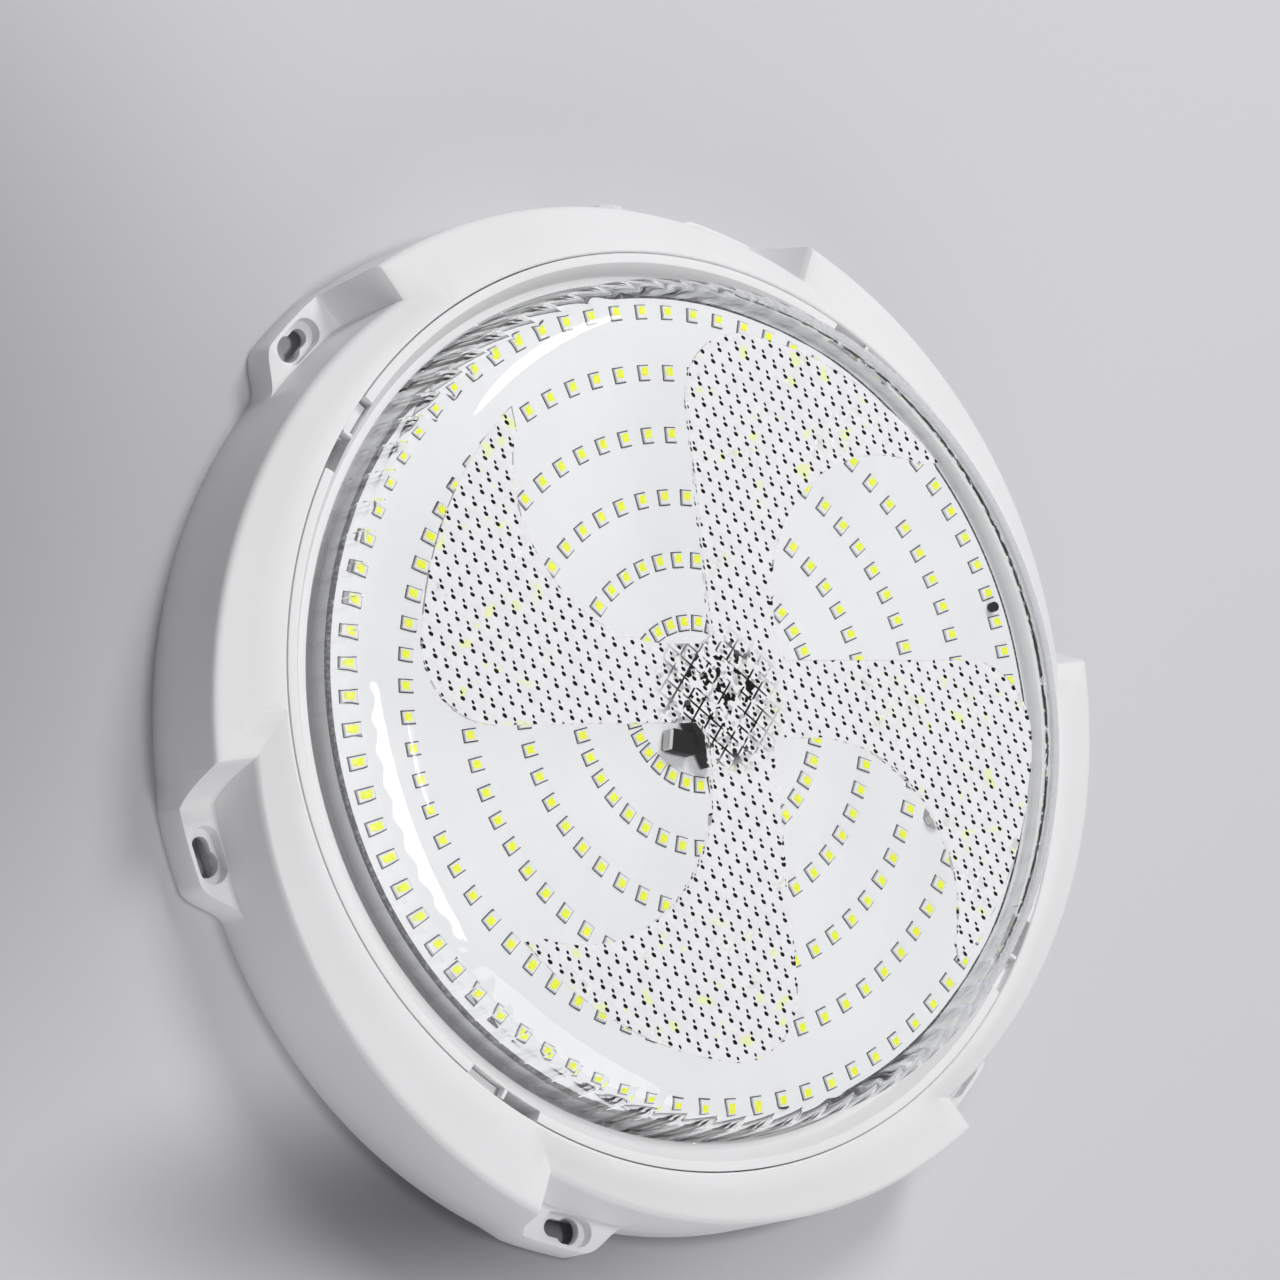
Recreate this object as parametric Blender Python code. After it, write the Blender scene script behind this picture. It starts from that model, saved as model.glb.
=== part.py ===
"""Solar ceiling light: a round moulded housing with six keyhole ears, a clear twist-lock cover with
four prismatic blades, six rings of LEDs on one board, and the battery and controller behind it.

The light lies on its back: +Z points out of the cover, and Z = 0 is the rim that meets the ceiling.
Sizes are in metres.
"""

from math import acos, asin, atan2, cos, pi, radians, sin, sqrt

import bmesh
import bpy
from mathutils import Matrix, Vector

# Clearances
SEAT_GAP = 0.0003  # between two pieces that rest on each other
TURN_GAP = 0.0006  # between the housing's collar and the turning cover ring
OVERRUN = 0.001  # how far a cutter runs past what it cuts
SINK = 0.0006  # how far a moulded detail reaches into the wall that carries it
SAME_POINT = 0.000001  # points nearer than this are one point
SMOOTH_ANGLE = radians(30.0)

# LED board and its rings of LEDs
BOARD_R = 0.1027
BOARD_THICK = 0.0016
LED_COUNTS = (30, 40, 48, 60, 70, 80)
LED_FIRST_R = 0.0200
LED_EDGE = 0.0047  # from the board's edge in to the outer ring of LEDs
LED_START = radians(12.0)
LED_LONG = 0.0035
LED_WIDE = 0.0028
LED_HIGH = 0.0007

# Sensors on the board
PHOTOCELL_R = 0.0013
PHOTOCELL_HIGH = 0.0016
IR_BAR_SIZE = (0.0044, 0.0133, 0.0040)
IR_BAR_GAP = 0.0020  # between the bar's end and the inner ring of LEDs
IR_HEAD_SIZE = (0.0088, 0.0059, 0.0034)
IR_HEAD_BEVEL = 0.0005

# Clear cover
LENS_WALL = 0.0016
LENS_EDGE_GAP = 0.0014  # between the board's edge and the cover's wall
LENS_FLANGE = 0.0035
LENS_FLANGE_THICK = 0.0023
LENS_HIGH = 0.0291  # from the flange's foot to the edge of the flat front
LENS_CROWN = 0.0010
LENS_DRAFT = 0.0014
LENS_SHOULDER = 0.0127
LENS_SEGMENTS = 48
SHOULDER_STEPS = 4

# Prismatic blades on the inside of the cover
BLADE_COUNT = 4
BLADE_THICK = 0.0010
BLADE_TIP_R = 0.0894
BLADE_OFFSET = 0.0074  # from the axis to a blade's straight edge
BLADE_CORNER_R = 0.0180
BLADE_ROOT = 0.0120  # from the axis to the narrowest part of a blade's hollow edge
BLADE_HOLLOW_UP = 0.0200
BLADE_HUB_R = 0.0170  # of the round middle that joins the blades
BLADE_HUB_STEPS = 2
BLADE_TIP_CUT = 0.0042
BLADE_TIP_ANGLE = radians(40.2)
BLADE_HEEL_ANGLE = radians(42.1)
BLADE_ARC_STEPS = 6

# Cover ring
RING_LIP_GAP = 0.0006  # between the cover's wall and the ring's lip
RING_RIM = 0.0033  # width of the ring outside the cover's flange
RING_LIP_THICK = 0.0016
RING_RIDGE_RISE = 0.0040
RING_RIDGE_WIDE = 0.0023
RING_STEP_WIDE = 0.0019
RING_SLOPE_WIDE = 0.0020
RING_STEP_SHARE = 0.2  # of the ridge's rise, at the foot of its slope
RING_SEGMENTS = 48

# Twist lock between the ring and the housing
LOCK_COUNT = 4
LOCK_START = radians(139.0)
LOCK_WINDOW = radians(5.2)
LOCK_RIB = radians(0.4)
LOCK_PLAY = radians(0.4)
LOCK_WALL = 0.0008  # left of the ring behind its windows
LOCK_LEDGE_THICK = 0.0024
LOCK_LUG_THICK = 0.0026
LOCK_STEPS = 2

# Seal under the cover
SEAL_THICK = 0.0020
SEAL_INSET = 0.0015  # from the board's collar to the seal
SEAL_SEGMENTS = 40

# Housing
SECTORS = 6
SECTOR_START = radians(5.3)
SECTOR_STEPS = 4  # between an ear and the next scoop
SECTOR_RISE = 0.0099  # growth of the wall's radius along one sector
FACE_LOW = 0.0082  # width of the front face just past a step
SHOULDER_LOW = 0.0032  # from the edge back to the shoulder line just past a step
SHOULDER_GROWTH = 0.0045
REAR_FLARE_LOW = 0.0019
REAR_FLARE_HIGH = 0.0006
WALL = 0.0026
STEP_DRAFT = 0.0004  # lean of the inner side of each step
SCOOP_TURN = radians(5.4)  # from the head of a step's scoop down to the step
SCOOP_MIDDLE_SHARE = 0.37  # of the way down the scoop, at its middle section
COLLAR_WALL = 0.0024
FLOOR_Z = 0.0220
FLOOR_THICK = 0.0022
FACE_RISE = 0.0110
SHOULDER_DROP = 0.0026
EDGE_DROP = 0.0024
ROOF_THICK = 0.0028
BOARD_COLLAR_WALL = 0.0024
BOARD_COLLAR_HIGH = 0.0101
BOARD_OVERHANG = 0.0023
EDGE_FILLET = 0.0017
FILLET_SHARES = ((1.0, 0.5), (0.3, 0.167), (0.0, -0.5))  # in from the edge, up from it

# Ears with their keyholes
EAR_REACH = 0.0113  # from the low edge of the front to the ear's outer side
EAR_Z = 0.0097
EAR_RAMP = radians(3.1)
EAR_FLAT_END = radians(10.8)
EAR_END = radians(16.0)
EAR_CURVE_STEPS = 3
RECESS_MIDDLE = radians(8.3)
RECESS_IN = 0.0047  # from the ear's outer side in to the middle of its recess
RECESS_LONG = 0.0140
RECESS_WIDE = 0.0074
RECESS_DEEP = 0.0030
EAR_PLATE = 0.0025
KEY_HEAD_R = 0.0033
KEY_SLOT_WIDE = 0.0044
KEY_HEAD_SHIFT = 0.0019
KEY_SLOT_SHIFT = 0.0026
POCKET_RIM = 0.0013
POCKET_START = radians(4.4)
POCKET_END = radians(12.2)
KEY_STEPS = 4

# Back cover, its posts and screws
BACK_RECESS = 0.0024
BACK_THICK = 0.0022
BACK_EDGE_GAP = 0.0005
POST_R = 0.0040
POST_RINGS_SHARE = 3.5  # rings of LEDs from the inner one out to the posts
POST_START = radians(66.8)
POST_COUNT = 4
BOSS_R = 0.0036
BOSS_INSET = 0.0062  # from the board's collar out to a boss
BOSS_ANGLE = radians(35.0)
SCREW_R = 0.0013
SCREW_LONG = 0.0080
SCREW_HEAD_R = 0.0030
SCREW_HEAD_HIGH = 0.0018
SCREW_SEGMENTS = 8
SCREW_CROWN_SHARE = 0.75
BORE_GAP = 0.0003
BORE_SPARE = 0.0020

# Cable inlet in the side wall
INLET_ANGLE = radians(90.0)
INLET_Z = 0.0135
INLET_PAD_R = 0.0078
INLET_PAD_PROUD = 0.0008
GROMMET_BORE_R = 0.0032
GROMMET_NECK_R = 0.0048
GROMMET_FLANGE_R = 0.0068
GROMMET_FLANGE_THICK = 0.0014
GROMMET_SEGMENTS = 12

# Battery
CELL_R = 0.00915
CELL_LONG = 0.0650
CELL_GAP = 0.0007
CELL_COUNT = 4
CELL_CAP_R = 0.0028
CELL_CAP_HIGH = 0.0009
CELL_SEGMENTS = 10
BATTERY_X = -0.0090
BATTERY_Y = 0.0
CRADLE_WALL = 0.0016
CRADLE_HIGH = 0.0120
CRADLE_END_GAP = 0.0006
CRADLE_END_WALL = 0.0020

# Controller
CONTROLLER_SIZE = (0.0420, 0.0560, 0.0016)
CONTROLLER_GAP = 0.0058  # between the cradle and the controller board
CONTROLLER_FRONT = 0.0200  # from the axis down to the controller board's near side
STANDOFF_HIGH = 0.0050
STANDOFF_R = 0.0030
STANDOFF_INSET = 0.0045
COIL_R = 0.0060
COIL_HIGH = 0.0070
COIL_INSET = (0.0290, 0.0160)
CAPACITOR_R = 0.0040
CAPACITOR_HIGH = 0.0110
CAPACITOR_INSET = (0.0110, 0.0120)
CHIP_SIZE = (0.0100, 0.0080, 0.0018)
CHIP_INSET = (0.0230, 0.0140)
PLUG_SIZE = (0.0060, 0.0080, 0.0070)
PLUG_INSET = 0.0015
BATTERY_PLUG_UP = 0.0260
BOARD_PLUG_UP = 0.0120
PANEL_PLUG_GAP = 0.0085  # between the middles of the capacitor and the panel plug
LEAD_R = 0.0011
LEAD_BEND = 0.0050
LEAD_STEPS = 8

# Heights worked out from the sizes above
FACE_Z = FLOOR_Z + FACE_RISE
SHOULDER_Z = FACE_Z - SHOULDER_DROP
EDGE_Z = SHOULDER_Z - EDGE_DROP
ROOF_Z = EDGE_Z - ROOF_THICK
EDGE_LOW_Z = EDGE_Z - EDGE_FILLET / 2.0
FLANGE_Z = FLOOR_Z + SEAT_GAP + SEAL_THICK + SEAT_GAP
RING_SEAT_Z = FLANGE_Z + LENS_FLANGE_THICK + SEAT_GAP
LIP_Z = RING_SEAT_Z + RING_LIP_THICK
RIDGE_Z = LIP_Z + RING_RIDGE_RISE
BOARD_SEAT_Z = FLOOR_Z + BOARD_COLLAR_HIGH
BOARD_Z = BOARD_SEAT_Z + SEAT_GAP
BOARD_TOP_Z = BOARD_Z + BOARD_THICK
LENS_EDGE_Z = FLANGE_Z + LENS_HIGH
BACK_TOP_Z = BACK_RECESS + BACK_THICK

# Radii and places worked out from the sizes above
LENS_IN_R = BOARD_R + LENS_EDGE_GAP
LENS_OUT_R = LENS_IN_R + LENS_WALL
FLANGE_R = LENS_OUT_R + LENS_FLANGE
RING_IN_R = LENS_OUT_R + RING_LIP_GAP
RING_SEAT_R = FLANGE_R + SEAT_GAP
RING_R = RING_SEAT_R + RING_RIM
COLLAR_R = RING_R + TURN_GAP
EDGE_LOW_R = COLLAR_R + FACE_LOW
BOARD_COLLAR_R = BOARD_R - BOARD_OVERHANG
EAR_R = EDGE_LOW_R + EAR_REACH
LOCK_R = RING_SEAT_R + LOCK_WALL
LED_RING_STEP = (BOARD_R - LED_EDGE - LED_FIRST_R) / (len(LED_COUNTS) - 1)
POST_RING_R = LED_FIRST_R + LED_RING_STEP * POST_RINGS_SHARE
IR_BAR_DOWN = LED_FIRST_R - (LED_LONG + IR_BAR_SIZE[1]) / 2.0 - IR_BAR_GAP
BORE_DEEP = SCREW_LONG + BORE_SPARE
CELL_PITCH = 2.0 * CELL_R + CELL_GAP
CRADLE_INSIDE = CELL_PITCH * (CELL_COUNT - 1) + 2.0 * (CELL_R + SEAT_GAP)
CRADLE_RIGHT = BATTERY_X + CRADLE_INSIDE / 2.0 + CRADLE_WALL
CONTROLLER_LEFT = CRADLE_RIGHT + CONTROLLER_GAP


def remove_all_objects():
    for item in list(bpy.data.objects):
        bpy.data.objects.remove(item, do_unlink=True)


def make_material(name, colour, roughness, metallic=0.0, alpha=1.0):
    material = bpy.data.materials.new(name)
    material.use_nodes = True
    shader = material.node_tree.nodes["Principled BSDF"]
    shader.inputs["Base Color"].default_value = (*colour, 1.0)
    shader.inputs["Roughness"].default_value = roughness
    shader.inputs["Metallic"].default_value = metallic
    shader.inputs["Alpha"].default_value = alpha
    return material


def make_materials():
    return {
        "shell": make_material("white_shell", (0.86, 0.86, 0.87), 0.35),
        "clear": make_material("clear_cover", (0.95, 0.96, 0.97), 0.05, alpha=0.3),
        "seal": make_material("grey_seal", (0.16, 0.16, 0.17), 0.7),
        "board": make_material("white_board", (0.85, 0.86, 0.88), 0.4),
        "led": make_material("led_phosphor", (0.88, 0.86, 0.25), 0.4),
        "black": make_material("black_plastic", (0.02, 0.02, 0.02), 0.4),
        "steel": make_material("zinc_steel", (0.6, 0.6, 0.6), 0.35, metallic=1.0),
        "cell": make_material("cell_wrap", (0.10, 0.28, 0.55), 0.4),
        "laminate": make_material("green_laminate", (0.05, 0.25, 0.12), 0.5),
        "copper": make_material("copper_winding", (0.6, 0.3, 0.15), 0.35, metallic=1.0),
        "lead": make_material("red_lead", (0.6, 0.05, 0.04), 0.5),
    }


def finish_mesh(name, bm, material):
    """Turn a finished bmesh into a mesh with its faces out."""
    bmesh.ops.recalc_face_normals(bm, faces=bm.faces)
    mesh = bpy.data.meshes.new(name)
    bm.to_mesh(mesh)
    bm.free()
    mesh.shade_smooth()
    mesh.set_sharp_from_angle(angle=SMOOTH_ANGLE)
    mesh.materials.append(material)
    return mesh


def place(name, bm, material):
    """Put a finished bmesh in the scene as a named object."""
    item = bpy.data.objects.new(name, finish_mesh(name, bm, material))
    bpy.context.scene.collection.objects.link(item)
    return item


def place_copies(name, bm, material, matrices):
    """Put numbered copies that share one mesh in the scene, each at its own matrix."""
    mesh = finish_mesh(name, bm, material)
    for number, matrix in enumerate(matrices, start=1):
        item = bpy.data.objects.new("%s_%d" % (name, number), mesh)
        bpy.context.scene.collection.objects.link(item)
        item.matrix_world = matrix


def add_boolean(target, tool, operation):
    """Join a tool to a piece or cut it out, and keep the tool as a hidden guide."""
    tool.hide_render = True
    tool.display_type = "WIRE"
    modifier = target.modifiers.new(tool.name, "BOOLEAN")
    modifier.operation = operation
    modifier.solver = "EXACT"
    modifier.object = tool


def blend(low, high, share):
    return low + (high - low) * share


def polar(radius, angle, z=0.0):
    return Vector((radius * cos(angle), radius * sin(angle), z))


def revolve(bm, profile, segments, matrix=None):
    """Turn a closed profile of (radius, height) points round the Z axis of the given matrix."""
    rows = []
    for radius, z in profile:
        count = segments if radius > 0.0 else 1
        points = [polar(radius, 2.0 * pi * i / segments, z) for i in range(count)]
        if matrix is not None:
            points = [matrix @ point for point in points]
        rows.append([bm.verts.new(point) for point in points])
    for row, following in zip(rows, rows[1:] + rows[:1]):
        for i in range(segments):
            j = (i + 1) % segments
            corners = [row[i % len(row)], row[j % len(row)]]
            corners += [following[j % len(following)], following[i % len(following)]]
            face = list(dict.fromkeys(corners))
            if len(face) > 2:
                bm.faces.new(face)


def prism(bm, outline, low, high, matrix=None):
    """Extrude a closed outline of (x, y) points from one height to another."""
    face = bm.faces.new([bm.verts.new((x, y, low)) for x, y in outline])
    grown = bmesh.ops.extrude_face_region(bm, geom=[face])["geom"]
    top = [v for v in grown if isinstance(v, bmesh.types.BMVert)]
    bmesh.ops.translate(bm, verts=top, vec=(0.0, 0.0, high - low))
    if matrix is not None:
        bmesh.ops.transform(bm, matrix=matrix, verts=list(face.verts) + top)


def block(bm, size, centre, turn=0.0):
    """A box of the given size round a centre, turned about Z."""
    scale = Matrix.Diagonal((*size, 1.0))
    spin = Matrix.Rotation(turn, 4, "Z")
    bmesh.ops.create_cube(bm, size=1.0, matrix=Matrix.Translation(centre) @ spin @ scale)


def sector_piece(bm, low_r, high_r, start, end, low_z, high_z, steps=2):
    """A block between two radii and two angles."""
    angles = [blend(start, end, i / steps) for i in range(steps + 1)]
    outline = [polar(high_r, a) for a in angles] + [polar(low_r, a) for a in reversed(angles)]
    prism(bm, [(p.x, p.y) for p in outline], low_z, high_z)


def stadium(half_long, half_wide):
    """Outline of a slot with round ends."""
    reach = half_long - half_wide
    angles = [-pi / 2.0 + pi * i / KEY_STEPS for i in range(KEY_STEPS + 1)]
    right = [(reach + half_wide * cos(a), half_wide * sin(a)) for a in angles]
    return right + [(-x, -y) for x, y in right]


# Housing: the wall grows in radius along each of six sectors and drops back at a step

def edge_radius(share):
    return EDGE_LOW_R + SECTOR_RISE * share


def rear_radius(share):
    return edge_radius(share) + blend(REAR_FLARE_LOW, REAR_FLARE_HIGH, share)


def inner_radius(share, z):
    """Inner side of the side wall at a height."""
    return blend(rear_radius(share), edge_radius(share), z / ROOF_Z) - WALL


def share_at(turn):
    """Share of the way along a sector, for an angle past its step."""
    return turn * SECTORS / (2.0 * pi)


def wall_point(share, z):
    """Outer side of the side wall at a height."""
    return (blend(rear_radius(share), edge_radius(share), z / EDGE_LOW_Z), z)


def front_profile(share):
    """Front of the housing from its shoulder to the top of the side wall."""
    edge = edge_radius(share)
    shoulder = edge - SHOULDER_LOW - SHOULDER_GROWTH * share
    fillet = [(edge - EDGE_FILLET * back, EDGE_Z + EDGE_FILLET * up) for back, up in FILLET_SHARES]
    return [(shoulder, SHOULDER_Z), *fillet]


def housing_section(inner_share, outside):
    """Cross-section of the housing, with the given points from its front face down to its rim."""
    collar_out = COLLAR_R + COLLAR_WALL
    return [
        (BOARD_COLLAR_R - BOARD_COLLAR_WALL, BOARD_SEAT_Z),
        (BOARD_COLLAR_R, BOARD_SEAT_Z),
        (BOARD_COLLAR_R, FLOOR_Z),
        (COLLAR_R, FLOOR_Z),
        (COLLAR_R, FACE_Z),
        *outside,
        (inner_radius(inner_share, 0.0), 0.0),
        (inner_radius(inner_share, ROOF_Z), ROOF_Z),
        (collar_out, SHOULDER_Z - EDGE_FILLET),
        (collar_out, FLOOR_Z - FLOOR_THICK),
        (BOARD_COLLAR_R - BOARD_COLLAR_WALL, FLOOR_Z - FLOOR_THICK),
    ]


def ear_outer_radius(turn):
    """Outer side of an ear: level, then drawn in to the wall in an S."""
    if turn <= EAR_FLAT_END:
        return EAR_R
    share = (turn - EAR_FLAT_END) / (EAR_END - EAR_FLAT_END)
    wall = wall_point(share_at(turn), EAR_Z)[0]
    return blend(wall, EAR_R, 0.5 + 0.5 * cos(pi * share))


def ear_outside(turn):
    """Front, wall, ramp or ear, and rim at an angle past a step."""
    share = share_at(turn)
    ramp = min(turn / EAR_RAMP, 1.0)
    top = blend(EDGE_LOW_Z, EAR_Z, ramp)
    outer = blend(edge_radius(1.0), ear_outer_radius(turn), ramp)
    flare = REAR_FLARE_HIGH if turn < EAR_END else rear_radius(share) - wall_point(share, EAR_Z)[0]
    front = front_profile(share)
    heel = outer + flare * (1.0 - EAR_Z / top)
    lip = [(outer, top)] * len(front)
    return [*front, wall_point(share, top), *lip, (heel, EAR_Z), (outer + flare, 0.0)]


def height_on(profile, radius):
    """Height of a falling profile of (radius, height) points at a radius."""
    for (near, high), (far, low) in zip(profile, profile[1:]):
        if radius <= far:
            return blend(high, low, (radius - near) / (far - near))
    return profile[-1][1]


def scooped_outside(turn):
    """Front, wall and rim ahead of a step, with the scoop that runs from the front to the ramp.

    The scoop's inner side lies on the front of the next sector, which starts under this one's.
    Its lip starts at the shoulder and moves out to the edge, slowly at first.
    """
    share = share_at(turn)
    along = max(1.0 - (2.0 * pi / SECTORS - turn) / SCOOP_TURN, 0.0)
    collar = (COLLAR_R, FACE_Z)
    own = front_profile(share)
    following = front_profile(0.0)
    reach = blend(COLLAR_R, EDGE_LOW_R, along)
    foot = (reach, height_on([collar, *following], reach))
    near = [point if point[0] < reach else foot for point in following]
    lip_r = blend(own[0][0], own[-1][0], along ** 2)
    lip = (lip_r, height_on(own, lip_r))
    far = [point if point[0] > lip_r else lip for point in own]
    return [*near, foot, *far, wall_point(share, EAR_Z), (rear_radius(share), 0.0)]


def step_inside_turn():
    """Angle past a step at which the inner side of the next step begins."""
    return 2.0 * pi / SECTORS - (WALL + STEP_DRAFT) / EDGE_LOW_R


def sector_sections():
    """Cross-sections past a step as far as its ear's end, and those from there to the next step.

    The inner side of a step lies a wall's thickness ahead of the outer side.
    """
    step = 2.0 * pi / SECTORS
    scoop = step - SCOOP_TURN
    middle = blend(scoop, step, SCOOP_MIDDLE_SHARE)
    drafted = step_inside_turn() + STEP_DRAFT / EDGE_LOW_R
    level = [0.0, EAR_RAMP, (EAR_RAMP + EAR_FLAT_END) / 2.0]
    curve = [blend(EAR_FLAT_END, EAR_END, i / EAR_CURVE_STEPS) for i in range(EAR_CURVE_STEPS + 1)]
    plain = [blend(EAR_END, scoop, i / SECTOR_STEPS) for i in range(SECTOR_STEPS + 1)]
    full = plain + [middle, step_inside_turn()]
    eared = [(turn, housing_section(share_at(turn), ear_outside(turn))) for turn in level + curve]
    plain = [(turn, housing_section(share_at(turn), scooped_outside(turn))) for turn in full]
    plain += [(turn, housing_section(0.0, scooped_outside(turn))) for turn in (drafted, step)]
    return eared, plain


def housing_runs():
    """Runs of loops of points round the light. Each run starts on the last loop of the one before."""
    runs = []
    for sector in range(SECTORS):
        start = SECTOR_START + 2.0 * pi * sector / SECTORS
        for sections in sector_sections():
            runs.append([[polar(r, start + turn, z) for r, z in section] for turn, section in sections])
    return runs


def loft(bm, runs):
    """Skin runs of loops of points, with points that coincide shared."""
    pool = {}
    for run in runs:
        rows = []
        for loop in run:
            row = []
            for point in loop:
                key = tuple(round(value / SAME_POINT) for value in point)
                if key not in pool:
                    pool[key] = bm.verts.new(point)
                row.append(pool[key])
            rows.append(row)
        for near, far in zip(rows, rows[1:]):
            for i in range(len(near)):
                j = (i + 1) % len(near)
                face = list(dict.fromkeys((near[i], near[j], far[j], far[i])))
                if len(face) > 2:
                    bm.faces.new(face)


def ear_frame(sector):
    """Placement at the middle of an ear's recess, with X along the wall."""
    angle = SECTOR_START + 2.0 * pi * sector / SECTORS + RECESS_MIDDLE
    outward = Matrix.Rotation(angle, 4, "Z") @ Matrix.Translation((EAR_R - RECESS_IN, 0.0, 0.0))
    return outward @ Matrix.Rotation(pi / 2.0, 4, "Z")


def keyhole_outline():
    """Round head for a screw's head, and a round-ended slot for its shank."""
    half = KEY_SLOT_WIDE / 2.0
    reach = atan2(half, -sqrt(KEY_HEAD_R ** 2 - half ** 2))
    head_angles = [blend(-reach, reach, i / (2 * KEY_STEPS)) for i in range(2 * KEY_STEPS + 1)]
    tail_angles = [pi / 2.0 + pi * i / KEY_STEPS for i in range(KEY_STEPS + 1)]
    head = [(KEY_HEAD_SHIFT + KEY_HEAD_R * cos(a), KEY_HEAD_R * sin(a)) for a in head_angles]
    tail = [(-KEY_SLOT_SHIFT + half * cos(a), half * sin(a)) for a in tail_angles]
    return head + tail


def make_ear_cutters(materials):
    """Recess, back pocket and keyhole of every ear."""
    recesses = bmesh.new()
    pockets = bmesh.new()
    keyholes = bmesh.new()
    floor_z = EAR_Z - RECESS_DEEP
    for sector in range(SECTORS):
        frame = ear_frame(sector)
        prism(recesses, stadium(RECESS_LONG / 2.0, RECESS_WIDE / 2.0), floor_z, EAR_Z + OVERRUN, frame)
        prism(keyholes, keyhole_outline(), floor_z - EAR_PLATE - OVERRUN, floor_z + OVERRUN, frame)
        start = SECTOR_START + 2.0 * pi * sector / SECTORS
        wall = rear_radius(share_at(RECESS_MIDDLE))
        sector_piece(
            pockets, wall + SEAT_GAP, EAR_R - POCKET_RIM, start + POCKET_START, start + POCKET_END,
            -OVERRUN, floor_z - EAR_PLATE,
        )
    return [
        place("recess_cutters", recesses, materials["shell"]),
        place("pocket_cutters", pockets, materials["shell"]),
        place("keyhole_cutters", keyholes, materials["shell"]),
    ]


def make_lugs(materials):
    """Four lugs of the twist lock, on the inside of the housing's collar."""
    bm = bmesh.new()
    low = FLANGE_Z + LOCK_LEDGE_THICK + SEAT_GAP
    for i in range(LOCK_COUNT):
        start = LOCK_START + 2.0 * pi * i / LOCK_COUNT + LOCK_PLAY
        sector_piece(
            bm, LOCK_R + SEAT_GAP, COLLAR_R + COLLAR_WALL / 2.0,
            start, start + LOCK_WINDOW - 2.0 * LOCK_PLAY, low, low + LOCK_LUG_THICK,
        )
    return place("lock_lugs", bm, materials["shell"])


def boss_place(sector):
    angle = SECTOR_START + 2.0 * pi * sector / SECTORS + BOSS_ANGLE
    return polar(BOARD_COLLAR_R + BOSS_INSET, angle)


def make_bosses(materials):
    """Screw bosses that hang from the floor of the housing's trough."""
    bm = bmesh.new()
    top = FLOOR_Z - FLOOR_THICK / 2.0
    foot = BACK_TOP_Z + SEAT_GAP
    bore = SCREW_R + BORE_GAP
    for sector in range(SECTORS):
        revolve(
            bm,
            [(0.0, foot + BORE_DEEP), (bore, foot + BORE_DEEP), (bore, foot), (BOSS_R, foot),
             (BOSS_R, top), (0.0, top)],
            SCREW_SEGMENTS,
            Matrix.Translation(boss_place(sector)),
        )
    return place("housing_bosses", bm, materials["shell"])


def inlet_frame():
    """Placement on the side wall with Z pointing out along the cable's way."""
    return Matrix.Rotation(INLET_ANGLE, 4, "Z") @ Matrix.Translation((0.0, 0.0, INLET_Z)) @ Matrix.Rotation(
        pi / 2.0, 4, "Y"
    )


def inlet_wall_radius():
    share = share_at(INLET_ANGLE - SECTOR_START) % 1.0
    return wall_point(share, INLET_Z)[0]


def make_inlet_pad(materials):
    """Flat round pad that the cable grommet seats on."""
    bm = bmesh.new()
    outer = inlet_wall_radius() + INLET_PAD_PROUD
    inner = outer - WALL - 2.0 * INLET_PAD_PROUD
    revolve(
        bm, [(0.0, inner), (INLET_PAD_R, inner), (INLET_PAD_R, outer), (0.0, outer)],
        GROMMET_SEGMENTS, inlet_frame(),
    )
    return place("inlet_pad", bm, materials["shell"])


def make_inlet_cutter(materials):
    bm = bmesh.new()
    radius = GROMMET_NECK_R + SEAT_GAP
    outer = inlet_wall_radius() + INLET_PAD_PROUD + OVERRUN
    inner = outer - WALL - 2.0 * INLET_PAD_PROUD - 2.0 * OVERRUN
    revolve(
        bm, [(0.0, inner), (radius, inner), (radius, outer), (0.0, outer)],
        GROMMET_SEGMENTS, inlet_frame(),
    )
    return place("inlet_cutter", bm, materials["shell"])


def make_housing(materials):
    bm = bmesh.new()
    loft(bm, housing_runs())
    housing = place("housing", bm, materials["shell"])
    for cutter in make_ear_cutters(materials):
        add_boolean(housing, cutter, "DIFFERENCE")
    add_boolean(housing, make_lugs(materials), "UNION")
    add_boolean(housing, make_bosses(materials), "UNION")
    add_boolean(housing, make_inlet_pad(materials), "UNION")
    add_boolean(housing, make_inlet_cutter(materials), "DIFFERENCE")
    return housing


# Cable grommet in the side wall, left empty

def make_grommet(materials):
    bm = bmesh.new()
    seat = inlet_wall_radius() + INLET_PAD_PROUD
    far = seat - WALL - 2.0 * INLET_PAD_PROUD
    revolve(
        bm,
        [
            (GROMMET_BORE_R, far - SEAT_GAP - GROMMET_FLANGE_THICK),
            (GROMMET_NECK_R + SEAT_GAP * 2.0, far - SEAT_GAP - GROMMET_FLANGE_THICK),
            (GROMMET_NECK_R + SEAT_GAP * 2.0, far - SEAT_GAP),
            (GROMMET_NECK_R, far - SEAT_GAP),
            (GROMMET_NECK_R, seat + SEAT_GAP),
            (GROMMET_FLANGE_R, seat + SEAT_GAP),
            (GROMMET_FLANGE_R, seat + SEAT_GAP + GROMMET_FLANGE_THICK),
            (GROMMET_BORE_R, seat + SEAT_GAP + GROMMET_FLANGE_THICK),
        ],
        GROMMET_SEGMENTS,
        inlet_frame(),
    )
    return place("cable_grommet", bm, materials["seal"])


# Back cover: a plate that follows the stepped wall, with posts for the LED board

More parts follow.
